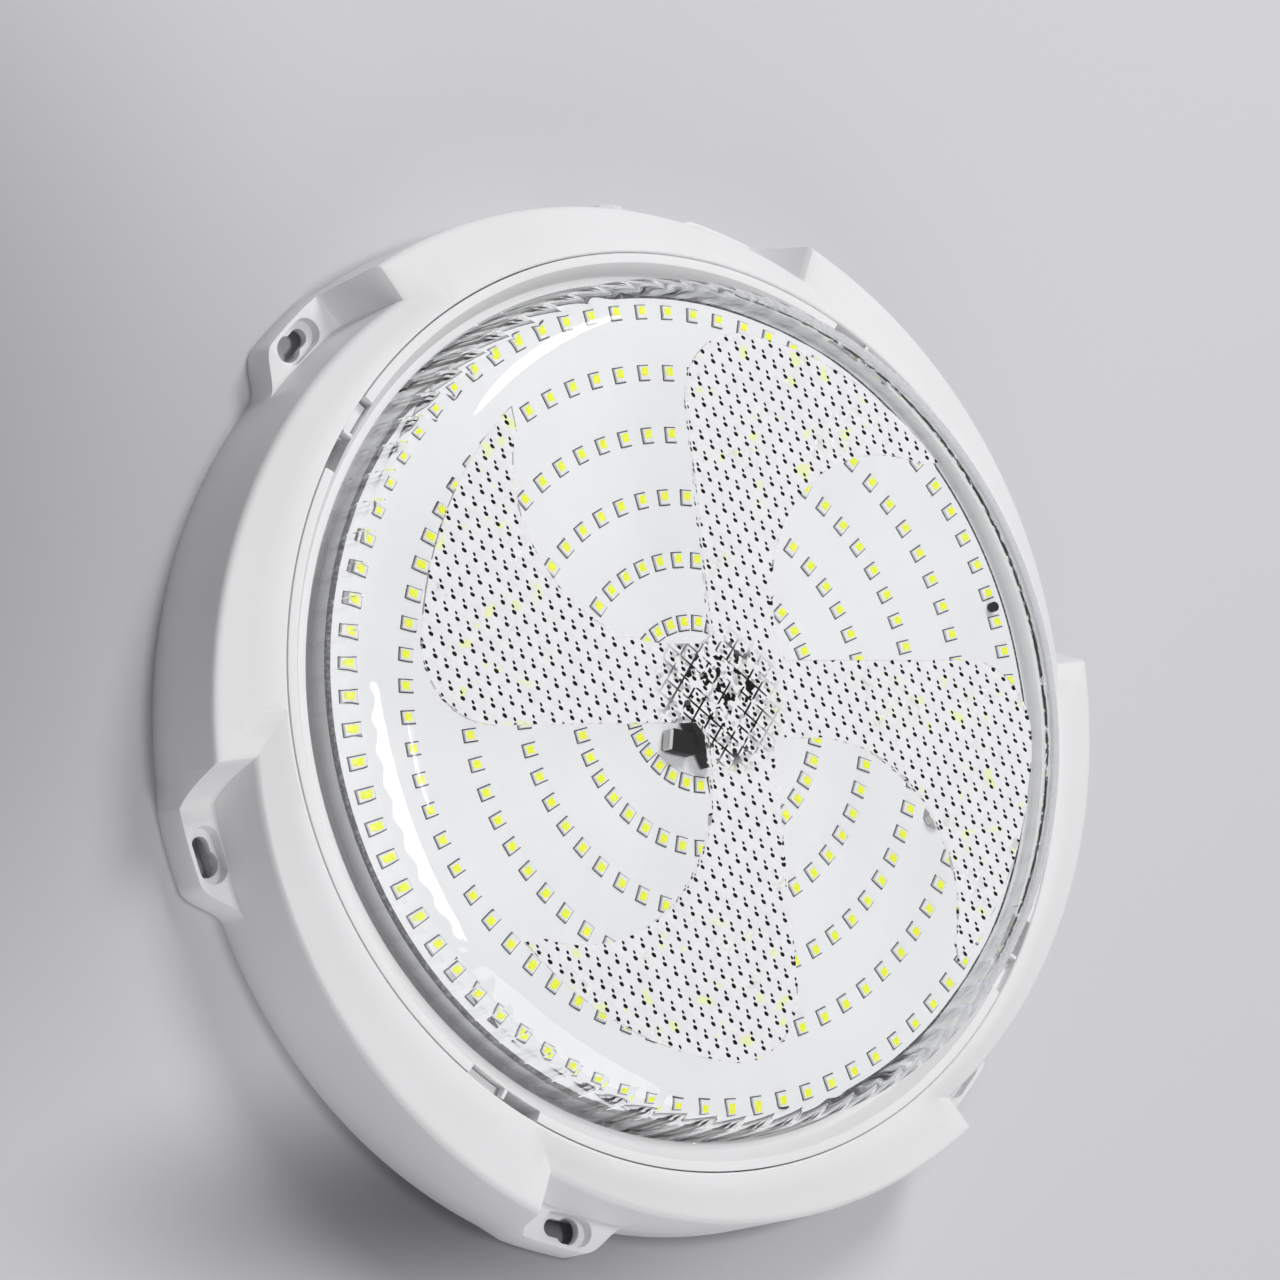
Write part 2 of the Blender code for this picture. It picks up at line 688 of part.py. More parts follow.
def back_outline():
    """Outline of the back cover, a gap inside the housing's stepped wall."""
    shift = (WALL + STEP_DRAFT + BACK_EDGE_GAP) / EDGE_LOW_R
    last = 2.0 * pi / SECTORS - shift
    turns = [-shift] + [last * i / SECTOR_STEPS for i in range(SECTOR_STEPS + 1)]
    points = []
    for sector in range(SECTORS):
        start = SECTOR_START + 2.0 * pi * sector / SECTORS
        for turn in turns:
            radius = inner_radius(share_at(max(turn, 0.0)), BACK_TOP_Z) - BACK_EDGE_GAP
            points.append(polar(radius, start + turn))
    return [(p.x, p.y) for p in points]


def post_place(index):
    return polar(POST_RING_R, POST_START + 2.0 * pi * index / POST_COUNT)


def make_back_cover(materials):
    bm = bmesh.new()
    prism(bm, back_outline(), BACK_RECESS, BACK_TOP_Z)
    cover = place("back_cover", bm, materials["shell"])
    posts = bmesh.new()
    bore = SCREW_R + BORE_GAP
    for index in range(POST_COUNT):
        revolve(
            posts,
            [(0.0, BACK_TOP_Z - SINK), (POST_R, BACK_TOP_Z - SINK), (POST_R, BOARD_SEAT_Z),
             (bore, BOARD_SEAT_Z), (bore, BOARD_SEAT_Z - BORE_DEEP), (0.0, BOARD_SEAT_Z - BORE_DEEP)],
            SCREW_SEGMENTS,
            Matrix.Translation(post_place(index)),
        )
    for x, y in standoff_places():
        revolve(
            posts,
            [(0.0, BACK_TOP_Z - SINK), (STANDOFF_R, BACK_TOP_Z - SINK),
             (STANDOFF_R, BACK_TOP_Z + STANDOFF_HIGH), (0.0, BACK_TOP_Z + STANDOFF_HIGH)],
            SCREW_SEGMENTS,
            Matrix.Translation((x, y, 0.0)),
        )
    holes = bmesh.new()
    for sector in range(SECTORS):
        revolve(
            holes,
            [(0.0, BACK_RECESS - OVERRUN), (bore, BACK_RECESS - OVERRUN),
             (bore, BACK_TOP_Z + OVERRUN), (0.0, BACK_TOP_Z + OVERRUN)],
            SCREW_SEGMENTS,
            Matrix.Translation(boss_place(sector)),
        )
    add_boolean(cover, place("back_posts", posts, materials["shell"]), "UNION")
    add_boolean(cover, place("back_holes", holes, materials["shell"]), "DIFFERENCE")
    return cover


def make_screw(bm):
    """Pan-head screw with its seat at the origin and its shank down the Z axis."""
    revolve(
        bm,
        [(0.0, SCREW_HEAD_HIGH), (SCREW_HEAD_R * SCREW_CROWN_SHARE, SCREW_HEAD_HIGH), (SCREW_HEAD_R, 0.0),
         (SCREW_R, 0.0), (SCREW_R, -SCREW_LONG), (0.0, -SCREW_LONG)],
        SCREW_SEGMENTS,
    )


def make_back_screws(materials):
    bm = bmesh.new()
    make_screw(bm)
    drop = Vector((0.0, 0.0, BACK_RECESS - SEAT_GAP))
    seats = [
        Matrix.Translation(boss_place(sector) + drop) @ Matrix.Rotation(pi, 4, "X")
        for sector in range(SECTORS)
    ]
    place_copies("back_screw", bm, materials["steel"], seats)


def make_board_screws(materials):
    bm = bmesh.new()
    make_screw(bm)
    rise = Vector((0.0, 0.0, BOARD_TOP_Z + SEAT_GAP))
    seats = [Matrix.Translation(post_place(index) + rise) for index in range(POST_COUNT)]
    place_copies("board_screw", bm, materials["steel"], seats)


# LED board and what is soldered on it

def make_leds(materials):
    """Rings of LED packages with their long sides along the radius, sunk a little into the board."""
    bm = bmesh.new()
    size = (LED_LONG, LED_WIDE, LED_HIGH + SINK)
    z = BOARD_TOP_Z + (LED_HIGH - SINK) / 2.0
    for ring, count in enumerate(LED_COUNTS):
        radius = LED_FIRST_R + LED_RING_STEP * ring
        for i in range(count):
            angle = LED_START + 2.0 * pi * i / count
            block(bm, size, polar(radius, angle, z), angle)
    return place("led_packages", bm, materials["led"])


def make_led_board(materials):
    bm = bmesh.new()
    outline = [polar(BOARD_R, 2.0 * pi * i / RING_SEGMENTS) for i in range(RING_SEGMENTS)]
    prism(bm, [(p.x, p.y) for p in outline], BOARD_Z, BOARD_TOP_Z)
    board = place("led_board", bm, materials["board"])
    holes = bmesh.new()
    for index in range(POST_COUNT):
        revolve(
            holes,
            [(0.0, BOARD_Z - OVERRUN), (SCREW_R + BORE_GAP, BOARD_Z - OVERRUN),
             (SCREW_R + BORE_GAP, BOARD_TOP_Z + OVERRUN), (0.0, BOARD_TOP_Z + OVERRUN)],
            SCREW_SEGMENTS,
            Matrix.Translation(post_place(index)),
        )
    add_boolean(board, place("board_holes", holes, materials["board"]), "DIFFERENCE")
    add_boolean(board, make_leds(materials), "UNION")
    return board


def make_photocell(materials):
    """Daylight sensor between two LEDs of the outer ring."""
    bm = bmesh.new()
    radius = LED_FIRST_R + LED_RING_STEP * (len(LED_COUNTS) - 1)
    angle = LED_START + pi / LED_COUNTS[-1]
    foot = BOARD_TOP_Z + SEAT_GAP
    revolve(
        bm,
        [(0.0, foot), (PHOTOCELL_R, foot), (PHOTOCELL_R, foot + PHOTOCELL_HIGH),
         (0.0, foot + PHOTOCELL_HIGH)],
        SCREW_SEGMENTS,
        Matrix.Translation(polar(radius, angle)),
    )
    return place("photocell", bm, materials["black"])


def make_ir_holder(materials):
    bm = bmesh.new()
    block(bm, IR_BAR_SIZE, (0.0, -IR_BAR_DOWN, BOARD_TOP_Z + SEAT_GAP + IR_BAR_SIZE[2] / 2.0))
    return place("ir_holder", bm, materials["black"])


def make_ir_receiver(materials):
    """Receiver of the remote control, beside its holder."""
    bm = bmesh.new()
    x = -(IR_BAR_SIZE[0] + IR_HEAD_SIZE[0]) / 2.0 - SEAT_GAP
    block(bm, IR_HEAD_SIZE, (x, -IR_BAR_DOWN, BOARD_TOP_Z + SEAT_GAP + IR_HEAD_SIZE[2] / 2.0))
    top_edges = [e for e in bm.edges if all(v.co.z > BOARD_TOP_Z + IR_HEAD_SIZE[2] / 2.0 for v in e.verts)]
    bmesh.ops.bevel(bm, geom=top_edges, offset=IR_HEAD_BEVEL, segments=1, affect="EDGES")
    return place("ir_receiver", bm, materials["black"])


# Clear cover with its four prismatic blades

def lens_shoulder(centre_r, centre_z, radius):
    """Round shoulder from the front down to the wall."""
    return [
        (centre_r + radius * sin(pi / 2.0 * i / SHOULDER_STEPS),
         centre_z + radius * cos(pi / 2.0 * i / SHOULDER_STEPS))
        for i in range(SHOULDER_STEPS + 1)
    ]


def lens_profile():
    """Outer side from the axis to the flange, then the inner side back to the axis."""
    top_out_r = LENS_OUT_R - LENS_DRAFT
    centre_r = top_out_r - LENS_SHOULDER
    centre_z = LENS_EDGE_Z - LENS_SHOULDER
    outer = [(0.0, LENS_EDGE_Z + LENS_CROWN)]
    outer += lens_shoulder(centre_r, centre_z, LENS_SHOULDER)
    outer += [
        (LENS_OUT_R, FLANGE_Z + LENS_FLANGE_THICK),
        (FLANGE_R, FLANGE_Z + LENS_FLANGE_THICK),
        (FLANGE_R, FLANGE_Z),
        (LENS_IN_R, FLANGE_Z),
    ]
    inner = lens_shoulder(centre_r, centre_z, LENS_SHOULDER - LENS_WALL)
    inner.reverse()
    return outer + inner + [(0.0, LENS_EDGE_Z + LENS_CROWN - LENS_WALL)]


def blade_outline():
    """One blade: straight edge, round outer corner, arc at the tip, hollow trailing edge and hub."""
    corner_x = BLADE_CORNER_R - BLADE_OFFSET
    corner_y = sqrt((BLADE_TIP_R - BLADE_CORNER_R) ** 2 - corner_x ** 2)
    corner_end = atan2(corner_y, corner_x)
    points = []
    for i in range(BLADE_ARC_STEPS // 2 + 1):
        a = blend(pi, corner_end, i / (BLADE_ARC_STEPS // 2))
        points.append((corner_x + BLADE_CORNER_R * cos(a), corner_y + BLADE_CORNER_R * sin(a)))
    for i in range(1, BLADE_ARC_STEPS + 1):
        a = blend(corner_end, BLADE_TIP_ANGLE, i / BLADE_ARC_STEPS)
        points.append((BLADE_TIP_R * cos(a), BLADE_TIP_R * sin(a)))
    heel = polar(BLADE_TIP_R - BLADE_TIP_CUT, BLADE_HEEL_ANGLE)
    across = heel.x - BLADE_ROOT
    up = heel.y - BLADE_HOLLOW_UP
    hollow_r = (across ** 2 + up ** 2) / (2.0 * across)
    hollow_x = BLADE_ROOT + hollow_r
    first = atan2(up, heel.x - hollow_x)
    for i in range(BLADE_ARC_STEPS + 1):
        a = blend(first, pi, i / BLADE_ARC_STEPS)
        points.append((hollow_x + hollow_r * cos(a), BLADE_HOLLOW_UP + hollow_r * sin(a)))
    hub_start = acos(BLADE_ROOT / BLADE_HUB_R)
    hub_end = asin(BLADE_OFFSET / BLADE_HUB_R)
    for i in range(BLADE_HUB_STEPS + 1):
        a = blend(hub_start, hub_end, i / BLADE_HUB_STEPS)
        points.append((BLADE_HUB_R * cos(a), BLADE_HUB_R * sin(a)))
    return points


def make_blades(materials):
    """Pinwheel of four blades round the axis, each a quarter turn from the last."""
    bm = bmesh.new()
    outline = []
    for i in range(BLADE_COUNT):
        turn = -2.0 * pi * i / BLADE_COUNT
        for x, y in blade_outline():
            outline.append((x * cos(turn) - y * sin(turn), x * sin(turn) + y * cos(turn)))
    top = LENS_EDGE_Z - LENS_WALL / 4.0
    prism(bm, outline, LENS_EDGE_Z - LENS_WALL - BLADE_THICK, top)
    return place("blade_blank", bm, materials["clear"])


def make_lens(materials):
    bm = bmesh.new()
    revolve(bm, lens_profile(), LENS_SEGMENTS)
    lens = place("lens", bm, materials["clear"])
    add_boolean(lens, make_blades(materials), "UNION")
    return lens


# Cover ring with the windows of its twist lock

def ring_profile():
    ridge_in = RING_R - RING_RIDGE_WIDE
    slope_in = ridge_in - RING_SLOPE_WIDE
    step_z = LIP_Z + RING_RIDGE_RISE * RING_STEP_SHARE
    return [
        (RING_SEAT_R, FLANGE_Z),
        (RING_R, FLANGE_Z),
        (RING_R, RIDGE_Z),
        (ridge_in, RIDGE_Z),
        (slope_in, step_z),
        (RING_IN_R + RING_STEP_WIDE, LIP_Z),
        (RING_IN_R, LIP_Z),
        (RING_IN_R, RING_SEAT_Z),
        (RING_SEAT_R, RING_SEAT_Z),
    ]


def make_lock_cutters(materials):
    """Per lock: the way of the lug, a window over the lug, and an entry window beside it."""
    ways = bmesh.new()
    windows = bmesh.new()
    entries = bmesh.new()
    inner = LOCK_R
    outer = RING_R + OVERRUN
    ledge = FLANGE_Z + LOCK_LEDGE_THICK
    bridge = ledge + 2.0 * SEAT_GAP + LOCK_LUG_THICK
    roof = RIDGE_Z + OVERRUN
    for i in range(LOCK_COUNT):
        lock = LOCK_START + 2.0 * pi * i / LOCK_COUNT
        lock_end = lock + LOCK_WINDOW
        entry = lock_end + LOCK_RIB
        entry_end = entry + LOCK_WINDOW
        sector_piece(ways, inner, outer, lock, entry_end, ledge, bridge, 2 * LOCK_STEPS)
        sector_piece(windows, inner, outer, lock, lock_end, bridge - SINK, roof, LOCK_STEPS)
        sector_piece(windows, inner, outer, entry, entry_end, bridge - SINK, roof, LOCK_STEPS)
        sector_piece(entries, inner, outer, entry, entry_end, FLANGE_Z - OVERRUN, ledge + SINK, LOCK_STEPS)
    return [
        place("lug_ways", ways, materials["shell"]),
        place("lug_windows", windows, materials["shell"]),
        place("lug_entries", entries, materials["shell"]),
    ]


def make_lens_ring(materials):
    bm = bmesh.new()
    revolve(bm, ring_profile(), RING_SEGMENTS)
    ring = place("lens_ring", bm, materials["shell"])
    for cutter in make_lock_cutters(materials):
        add_boolean(ring, cutter, "DIFFERENCE")
    return ring


def make_lens_seal(materials):
    bm = bmesh.new()
    foot = FLOOR_Z + SEAT_GAP
    top = foot + SEAL_THICK
    outer = FLANGE_R - SEAT_GAP
    inner = BOARD_COLLAR_R + SEAL_INSET
    revolve(bm, [(inner, foot), (outer, foot), (outer, top), (inner, top)], SEAL_SEGMENTS)
    return place("lens_seal", bm, materials["seal"])


# Battery: cells side by side in a cradle on the back cover

def cell_x(index):
    return BATTERY_X + CELL_PITCH * (index - (CELL_COUNT - 1) / 2.0)


def cradle_floor_z():
    return BACK_TOP_Z + SEAT_GAP + CRADLE_WALL


def make_cells(materials):
    """Round cells side by side, each end for end with the next."""
    bm = bmesh.new()
    body = CELL_LONG - CELL_CAP_HIGH
    revolve(
        bm,
        [(0.0, 0.0), (CELL_R, 0.0), (CELL_R, body), (CELL_CAP_R, body), (CELL_CAP_R, CELL_LONG),
         (0.0, CELL_LONG)],
        CELL_SEGMENTS,
        Matrix.Translation((0.0, 0.0, -CELL_LONG / 2.0)),
    )
    z = cradle_floor_z() + SEAT_GAP + CELL_R
    seats = [
        Matrix.Translation((cell_x(index), BATTERY_Y, z))
        @ Matrix.Rotation(pi / 2.0 if index % 2 else -pi / 2.0, 4, "X")
        for index in range(CELL_COUNT)
    ]
    place_copies("battery_cell", bm, materials["cell"], seats)


def make_cradle(materials):
    """Open tray round the cells, with a wall at each end."""
    bm = bmesh.new()
    foot = BACK_TOP_Z + SEAT_GAP
    long = CELL_LONG + 2.0 * CRADLE_END_GAP
    outer = (CRADLE_INSIDE + 2.0 * CRADLE_WALL, long + 2.0 * CRADLE_END_WALL, CRADLE_HIGH)
    block(bm, outer, (BATTERY_X, BATTERY_Y, foot + CRADLE_HIGH / 2.0))
    cradle = place("battery_cradle", bm, materials["black"])
    hollow = bmesh.new()
    inner = (CRADLE_INSIDE, long, CRADLE_HIGH)
    block(hollow, inner, (BATTERY_X, BATTERY_Y, foot + CRADLE_HIGH / 2.0 + CRADLE_WALL))
    add_boolean(cradle, place("cradle_hollow", hollow, materials["black"]), "DIFFERENCE")
    return cradle


# Controller board on four standoffs, with its coil, capacitor, chip and plugs

def controller_place(inset, z):
    """A place on the controller board, measured in from its left and near sides."""
    return (CONTROLLER_LEFT + inset[0], inset[1] - CONTROLLER_FRONT, z)


def far_inset(inset):
    """The same place measured in from the controller board's far side."""
    return (inset[0], CONTROLLER_SIZE[1] - inset[1])


def controller_top():
    return BACK_TOP_Z + STANDOFF_HIGH + SEAT_GAP + CONTROLLER_SIZE[2]


def standoff_places():
    insets = [(STANDOFF_INSET, side - STANDOFF_INSET) for side in CONTROLLER_SIZE[:2]]
    return [controller_place((x, y), 0.0)[:2] for x in insets[0] for y in insets[1]]


def make_controller_board(materials):
    bm = bmesh.new()
    z = controller_top() - CONTROLLER_SIZE[2] / 2.0
    middle = (CONTROLLER_SIZE[0] / 2.0, CONTROLLER_SIZE[1] / 2.0)
    block(bm, CONTROLLER_SIZE, controller_place(middle, z))
    return place("controller_board", bm, materials["laminate"])


def make_round_part(name, radius, high, inset, material):
    """Upright round component standing on the controller board."""
    bm = bmesh.new()
    foot = controller_top() + SEAT_GAP
    revolve(
        bm, [(0.0, foot), (radius, foot), (radius, foot + high), (0.0, foot + high)],
        CELL_SEGMENTS, Matrix.Translation(controller_place(inset, 0.0)),
    )
    return place(name, bm, material)


def make_box_part(name, size, inset, material):
    """Box-shaped component standing on the controller board."""
    bm = bmesh.new()
    block(bm, size, controller_place(inset, controller_top() + SEAT_GAP + size[2] / 2.0))
    return place(name, bm, material)


def plug_inset(up):
    """Place of a plug along the controller board's left side."""
    return (PLUG_INSET + PLUG_SIZE[0] / 2.0, up)


def make_controller(materials):
    make_controller_board(materials)
    coil_place = far_inset(COIL_INSET)
    make_round_part("controller_coil", COIL_R, COIL_HIGH, coil_place, materials["copper"])
    capacitor_place = far_inset(CAPACITOR_INSET)
    make_round_part(
        "controller_capacitor", CAPACITOR_R, CAPACITOR_HIGH, capacitor_place, materials["black"]
    )
    make_box_part("controller_chip", CHIP_SIZE, CHIP_INSET, materials["black"])
    make_box_part("battery_plug", PLUG_SIZE, plug_inset(BATTERY_PLUG_UP), materials["board"])
    make_box_part("board_plug", PLUG_SIZE, plug_inset(BOARD_PLUG_UP), materials["board"])
    panel_place = far_inset((CAPACITOR_INSET[0] + PANEL_PLUG_GAP, PLUG_INSET + PLUG_SIZE[1] / 2.0))
    make_box_part("panel_plug", PLUG_SIZE, panel_place, materials["board"])


def make_lead(name, corners, materials):
    """Wire along a smooth way through its corner points."""
    curve = bpy.data.curves.new(name, "CURVE")
    curve.dimensions = "3D"
    curve.bevel_depth = LEAD_R
    curve.bevel_resolution = 1
    curve.use_fill_caps = True
    points = smooth_way([Vector(corner) for corner in corners])
    spline = curve.splines.new("POLY")
    spline.points.add(len(points) - 1)
    for spot, point in zip(spline.points, points):
        spot.co = (*point, 1.0)
    curve.materials.append(materials["lead"])
    item = bpy.data.objects.new(name, curve)
    bpy.context.scene.collection.objects.link(item)
    return item


def smooth_way(corners):
    """Round each inner corner with an arc of parabola."""
    points = [corners[0]]
    for before, corner, after in zip(corners, corners[1:], corners[2:]):
        start = corner + (before - corner).normalized() * min(LEAD_BEND, (before - corner).length / 2.0)
        end = corner + (after - corner).normalized() * min(LEAD_BEND, (after - corner).length / 2.0)
        for i in range(LEAD_STEPS // 2 + 1):
            t = i / (LEAD_STEPS // 2)
            points.append(start * (1.0 - t) ** 2 + corner * 2.0 * t * (1.0 - t) + end * t ** 2)
    points.append(corners[-1])
    return points


def make_leads(materials):
    """Wires from the battery to its plug, and from the board's plug up to the LED board."""
    plug_mid = controller_top() + SEAT_GAP + PLUG_SIZE[2] / 2.0
    plug_top = controller_top() + SEAT_GAP + PLUG_SIZE[2]
    cell_end = BATTERY_Y - CELL_LONG / 2.0 - CRADLE_END_GAP - CRADLE_END_WALL - SEAT_GAP
    lead_y = cell_end - LEAD_R - LEAD_BEND
    battery = controller_place(plug_inset(BATTERY_PLUG_UP), plug_mid)
    side = battery[0] - PLUG_SIZE[0] / 2.0 - SEAT_GAP
    between = (CRADLE_RIGHT + side) / 2.0
    rise = cradle_floor_z() + CELL_R
    make_lead(
        "battery_lead",
        [
            (cell_x(CELL_COUNT - 1), cell_end, rise),
            (cell_x(CELL_COUNT - 1), lead_y, rise),
            (between, lead_y, rise),
            (between, battery[1], plug_mid),
            (side, battery[1], plug_mid),
        ],
        materials,
    )
    board = controller_place(plug_inset(BOARD_PLUG_UP), plug_top + SEAT_GAP)
    middle = (plug_top + BOARD_Z) / 2.0
    make_lead(
        "board_lead",
        [
            board,
            (board[0], board[1], middle),
            (board[0] - 2.0 * LEAD_BEND, board[1] - 2.0 * LEAD_BEND, middle),
            (board[0] - 2.0 * LEAD_BEND, board[1] - 2.0 * LEAD_BEND, BOARD_Z - SEAT_GAP),
        ],
        materials,
    )


def build():
    remove_all_objects()
    materials = make_materials()
    make_housing(materials)
    make_grommet(materials)
    make_back_cover(materials)
    make_back_screws(materials)
    make_led_board(materials)
    make_board_screws(materials)
    make_photocell(materials)
    make_ir_holder(materials)
    make_ir_receiver(materials)
    make_lens_seal(materials)
    make_lens(materials)
    make_lens_ring(materials)
    make_cradle(materials)
    make_cells(materials)
    make_controller(materials)
    make_leads(materials)


build()
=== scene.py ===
"""Looks for the round solar ceiling light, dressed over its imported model."""

import random
from math import acos, asin, atan2, ceil, cos, pi, radians, sin, sqrt

import bmesh
import bpy
from mathutils import Matrix, Vector


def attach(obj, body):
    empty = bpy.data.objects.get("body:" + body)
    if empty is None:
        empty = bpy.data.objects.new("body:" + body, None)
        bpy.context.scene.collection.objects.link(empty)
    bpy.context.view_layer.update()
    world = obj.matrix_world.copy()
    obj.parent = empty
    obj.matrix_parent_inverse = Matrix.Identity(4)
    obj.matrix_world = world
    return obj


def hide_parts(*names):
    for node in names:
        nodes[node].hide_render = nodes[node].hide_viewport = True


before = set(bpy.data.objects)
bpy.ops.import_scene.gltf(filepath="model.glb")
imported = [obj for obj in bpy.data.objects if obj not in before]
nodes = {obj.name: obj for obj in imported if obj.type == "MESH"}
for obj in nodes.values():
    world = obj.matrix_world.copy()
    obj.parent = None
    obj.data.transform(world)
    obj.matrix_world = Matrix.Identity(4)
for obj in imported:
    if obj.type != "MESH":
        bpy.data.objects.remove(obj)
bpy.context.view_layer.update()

# The housing is one moulding in satin white plastic. Its side wall grows outwards along each of six
# sectors and steps back in, and past every step a ramp runs down to an ear with a keyhole for a screw.

SECTORS = 6
SECTOR_START = radians(5.3)
SECTOR_TURN = 2.0 * pi / SECTORS
SECTOR_RISE = 0.0099
BOARD_COLLAR_IN = 0.0980
BOARD_COLLAR_R = 0.1004
BOARD_COLLAR_Z = 0.0321
TROUGH_Z = 0.0220
TROUGH_UNDER_Z = 0.0198
COLLAR_R = 0.1134
COLLAR_OUT_R = 0.1158
COLLAR_ROUND = 0.0008
FACE_Z = 0.0330
FACE_SWELL = 0.0003
SHOULDER_Z = 0.0304
SHOULDER_LOW = 0.0032
SHOULDER_GROWTH = 0.0045
EDGE_LOW_R = 0.1216
EDGE_Z = 0.0280
EDGE_ROUND = 0.0019
EDGE_CORNER = 0.25
WALL_TOP_Z = EDGE_Z - EDGE_ROUND
REAR_FLARE_LOW = 0.0019
REAR_FLARE_HIGH = 0.0006
WALL = 0.0026
ROOF_Z = 0.0252
STEP_DRAFT = 0.0004
SCOOP_TURN = radians(5.4)
SCOOP_STEPS = 14
EAR_R = 0.13278
EAR_Z = 0.0097
EAR_RAMP = radians(3.1)
EAR_FLAT_END = radians(10.8)
EAR_END = radians(16.0)
RAMP_STEPS = 12
RAMP_BEND = 0.5
EAR_STEPS = 5
EAR_CURVE_STEPS = 12
PLAIN_STEPS = 30
FILLET_STEPS = 6
CREASE_STEPS = 4
CREASE_SHARE = 0.2
CREASE_MIDDLE = 3
COLLAR_STEPS = 3
RECESS_TURN = radians(8.3)
RECESS_IN = 0.0047
RECESS_LONG = 0.0140
RECESS_WIDE = 0.0074
RECESS_Z = EAR_Z - 0.0030
POCKET_Z = RECESS_Z - 0.0025
POCKET_RIM = 0.0013
POCKET_GAP = 0.0003
POCKET_START = radians(4.4)
POCKET_END = radians(12.2)
KEYHOLE_HEAD_R = 0.0033
KEYHOLE_HEAD_SHIFT = 0.0019
KEYHOLE_SLOT_WIDE = 0.0044
KEYHOLE_SLOT_SHIFT = 0.0026
ROUND_STEPS = 14
BLOCK_STEPS = 6
INLET_SEGMENTS = 48
CUT_OVER = 0.0010
SHELL_BEVEL = 0.0005
BEVEL_SEGMENTS = 2
SOFT_ANGLE = radians(35.0)
SAME_POINT = 0.000001
LOCK_COUNT = 4
LOCK_START = radians(139.0)
LOCK_WINDOW = radians(5.2)
LOCK_RIB = radians(0.4)
LOCK_PLAY = radians(0.4)
LOCK_R = 0.1103
LUG_GAP = 0.0003
LUG_Z = 0.0273
LUG_THICK = 0.0026
INLET_ANGLE = radians(90.0)
INLET_Z = 0.0135
INLET_PAD_R = 0.0078
INLET_PROUD = 0.0008
INLET_HOLE_R = 0.0051
SHELL_WHITE = (0.815, 0.815, 0.825, 1.0)
SHELL_WARM = (0.775, 0.775, 0.780, 1.0)
SHELL_CLOUDS = (24.0, 4.0, 0.5, 0.3)
SHELL_GRAIN = (2600.0, 2.0)
SHELL_FLOW = (90.0, 3.0)
GRAIN_DEEP = 0.0001


class Shade:
    """A socket in a material's node tree. Sums on it add Math nodes, and node() adds any node."""

    def __init__(self, tree, socket=None):
        self.tree = tree
        self.socket = socket

    def node(self, kind, settings=None, inputs=None, output=0):
        made = self.tree.nodes.new(kind)
        for name, value in (settings or {}).items():
            setattr(made, name, value)
        for name, value in (inputs or {}).items():
            if isinstance(value, Shade):
                self.tree.links.new(value.socket, made.inputs[name])
            else:
                made.inputs[name].default_value = value
        return Shade(self.tree, made.outputs[output])

    def math(self, operation, *values):
        return self.node("ShaderNodeMath", {"operation": operation}, dict(enumerate(values)))

    def __add__(self, other):
        return self.math("ADD", self, other)

    def __radd__(self, other):
        return self.math("ADD", other, self)

    def __sub__(self, other):
        return self.math("SUBTRACT", self, other)

    def __rsub__(self, other):
        return self.math("SUBTRACT", other, self)

    def __mul__(self, other):
        return self.math("MULTIPLY", self, other)

    def __rmul__(self, other):
        return self.math("MULTIPLY", other, self)

    def __truediv__(self, other):
        return self.math("DIVIDE", self, other)

    def __rtruediv__(self, other):
        return self.math("DIVIDE", other, self)

    def vectors(self, operation, *values):
        return self.node("ShaderNodeVectorMath", {"operation": operation}, dict(enumerate(values)))

    def distance(self, place):
        return self.node("ShaderNodeVectorMath", {"operation": "DISTANCE"}, {0: self, 1: place}, output=1)

    def axis(self, number):
        return self.node("ShaderNodeSeparateXYZ", {}, {0: self}, output=number)

    def place(self):
        """Position in the light's own frame, in metres."""
        return self.node("ShaderNodeTexCoord", output=3)

    def noise(self, scale, detail):
        inputs = {"Vector": self.place(), "Scale": scale, "Detail": detail}
        return self.node("ShaderNodeTexNoise", {}, inputs)

    def patches(self, scale, detail, middle, half):
        """Noise with a smooth step round a middle value."""
        return self.noise(scale, detail).edge(middle, half)

    def mix(self, low, high):
        """Blend of two colours, with this socket as the share of the second."""
        return self.node("ShaderNodeMix", {"data_type": "RGBA"}, {0: self, 6: low, 7: high}, output=2)

    def bump(self, strength, distance):
        inputs = {"Height": self, "Strength": strength, "Distance": distance}
        return self.node("ShaderNodeBump", {}, inputs)

    def edge(self, middle, half):
        """Smooth step from 0 to 1 round a middle value."""
        inputs = {"Value": self, "From Min": middle - half, "From Max": middle + half}
        return self.node("ShaderNodeMapRange", {"interpolation_type": "SMOOTHSTEP"}, inputs)


def new_look(name):
    """A new material and the start of its shader sums."""
    made = bpy.data.materials.new(name)
    made.use_nodes = True
    return made, Shade(made.node_tree)


def set_look(made, **sockets):
    """Sets the main shader's sockets: underscores in a name stand for its spaces."""
    shader = made.node_tree.nodes["Principled BSDF"]
    for name, value in sockets.items():
        socket = shader.inputs[name.replace("_", " ")]
        if isinstance(value, Shade):
            made.node_tree.links.new(value.socket, socket)
        else:
            socket.default_value = value


def moulded_white():
    made, look = new_look("moulded_white")
    grain = look.noise(*SHELL_GRAIN)
    flow = look.noise(*SHELL_FLOW)
    set_look(
        made,
        Base_Color=look.patches(*SHELL_CLOUDS).mix(SHELL_WHITE, SHELL_WARM),
        Roughness=0.34 + flow * 0.14 + grain * 0.05,
        Normal=(grain * 0.5 + flow).bump(0.12, GRAIN_DEEP),
    )
    set_look(made, IOR=1.5, Coat_Weight=0.08, Coat_Roughness=0.2)
    return made


WHITE_LOOK = moulded_white()


def blend(low, high, share):
    return low + (high - low) * share


def polar(radius, angle, z=0.0):
    return Vector((radius * cos(angle), radius * sin(angle), z))


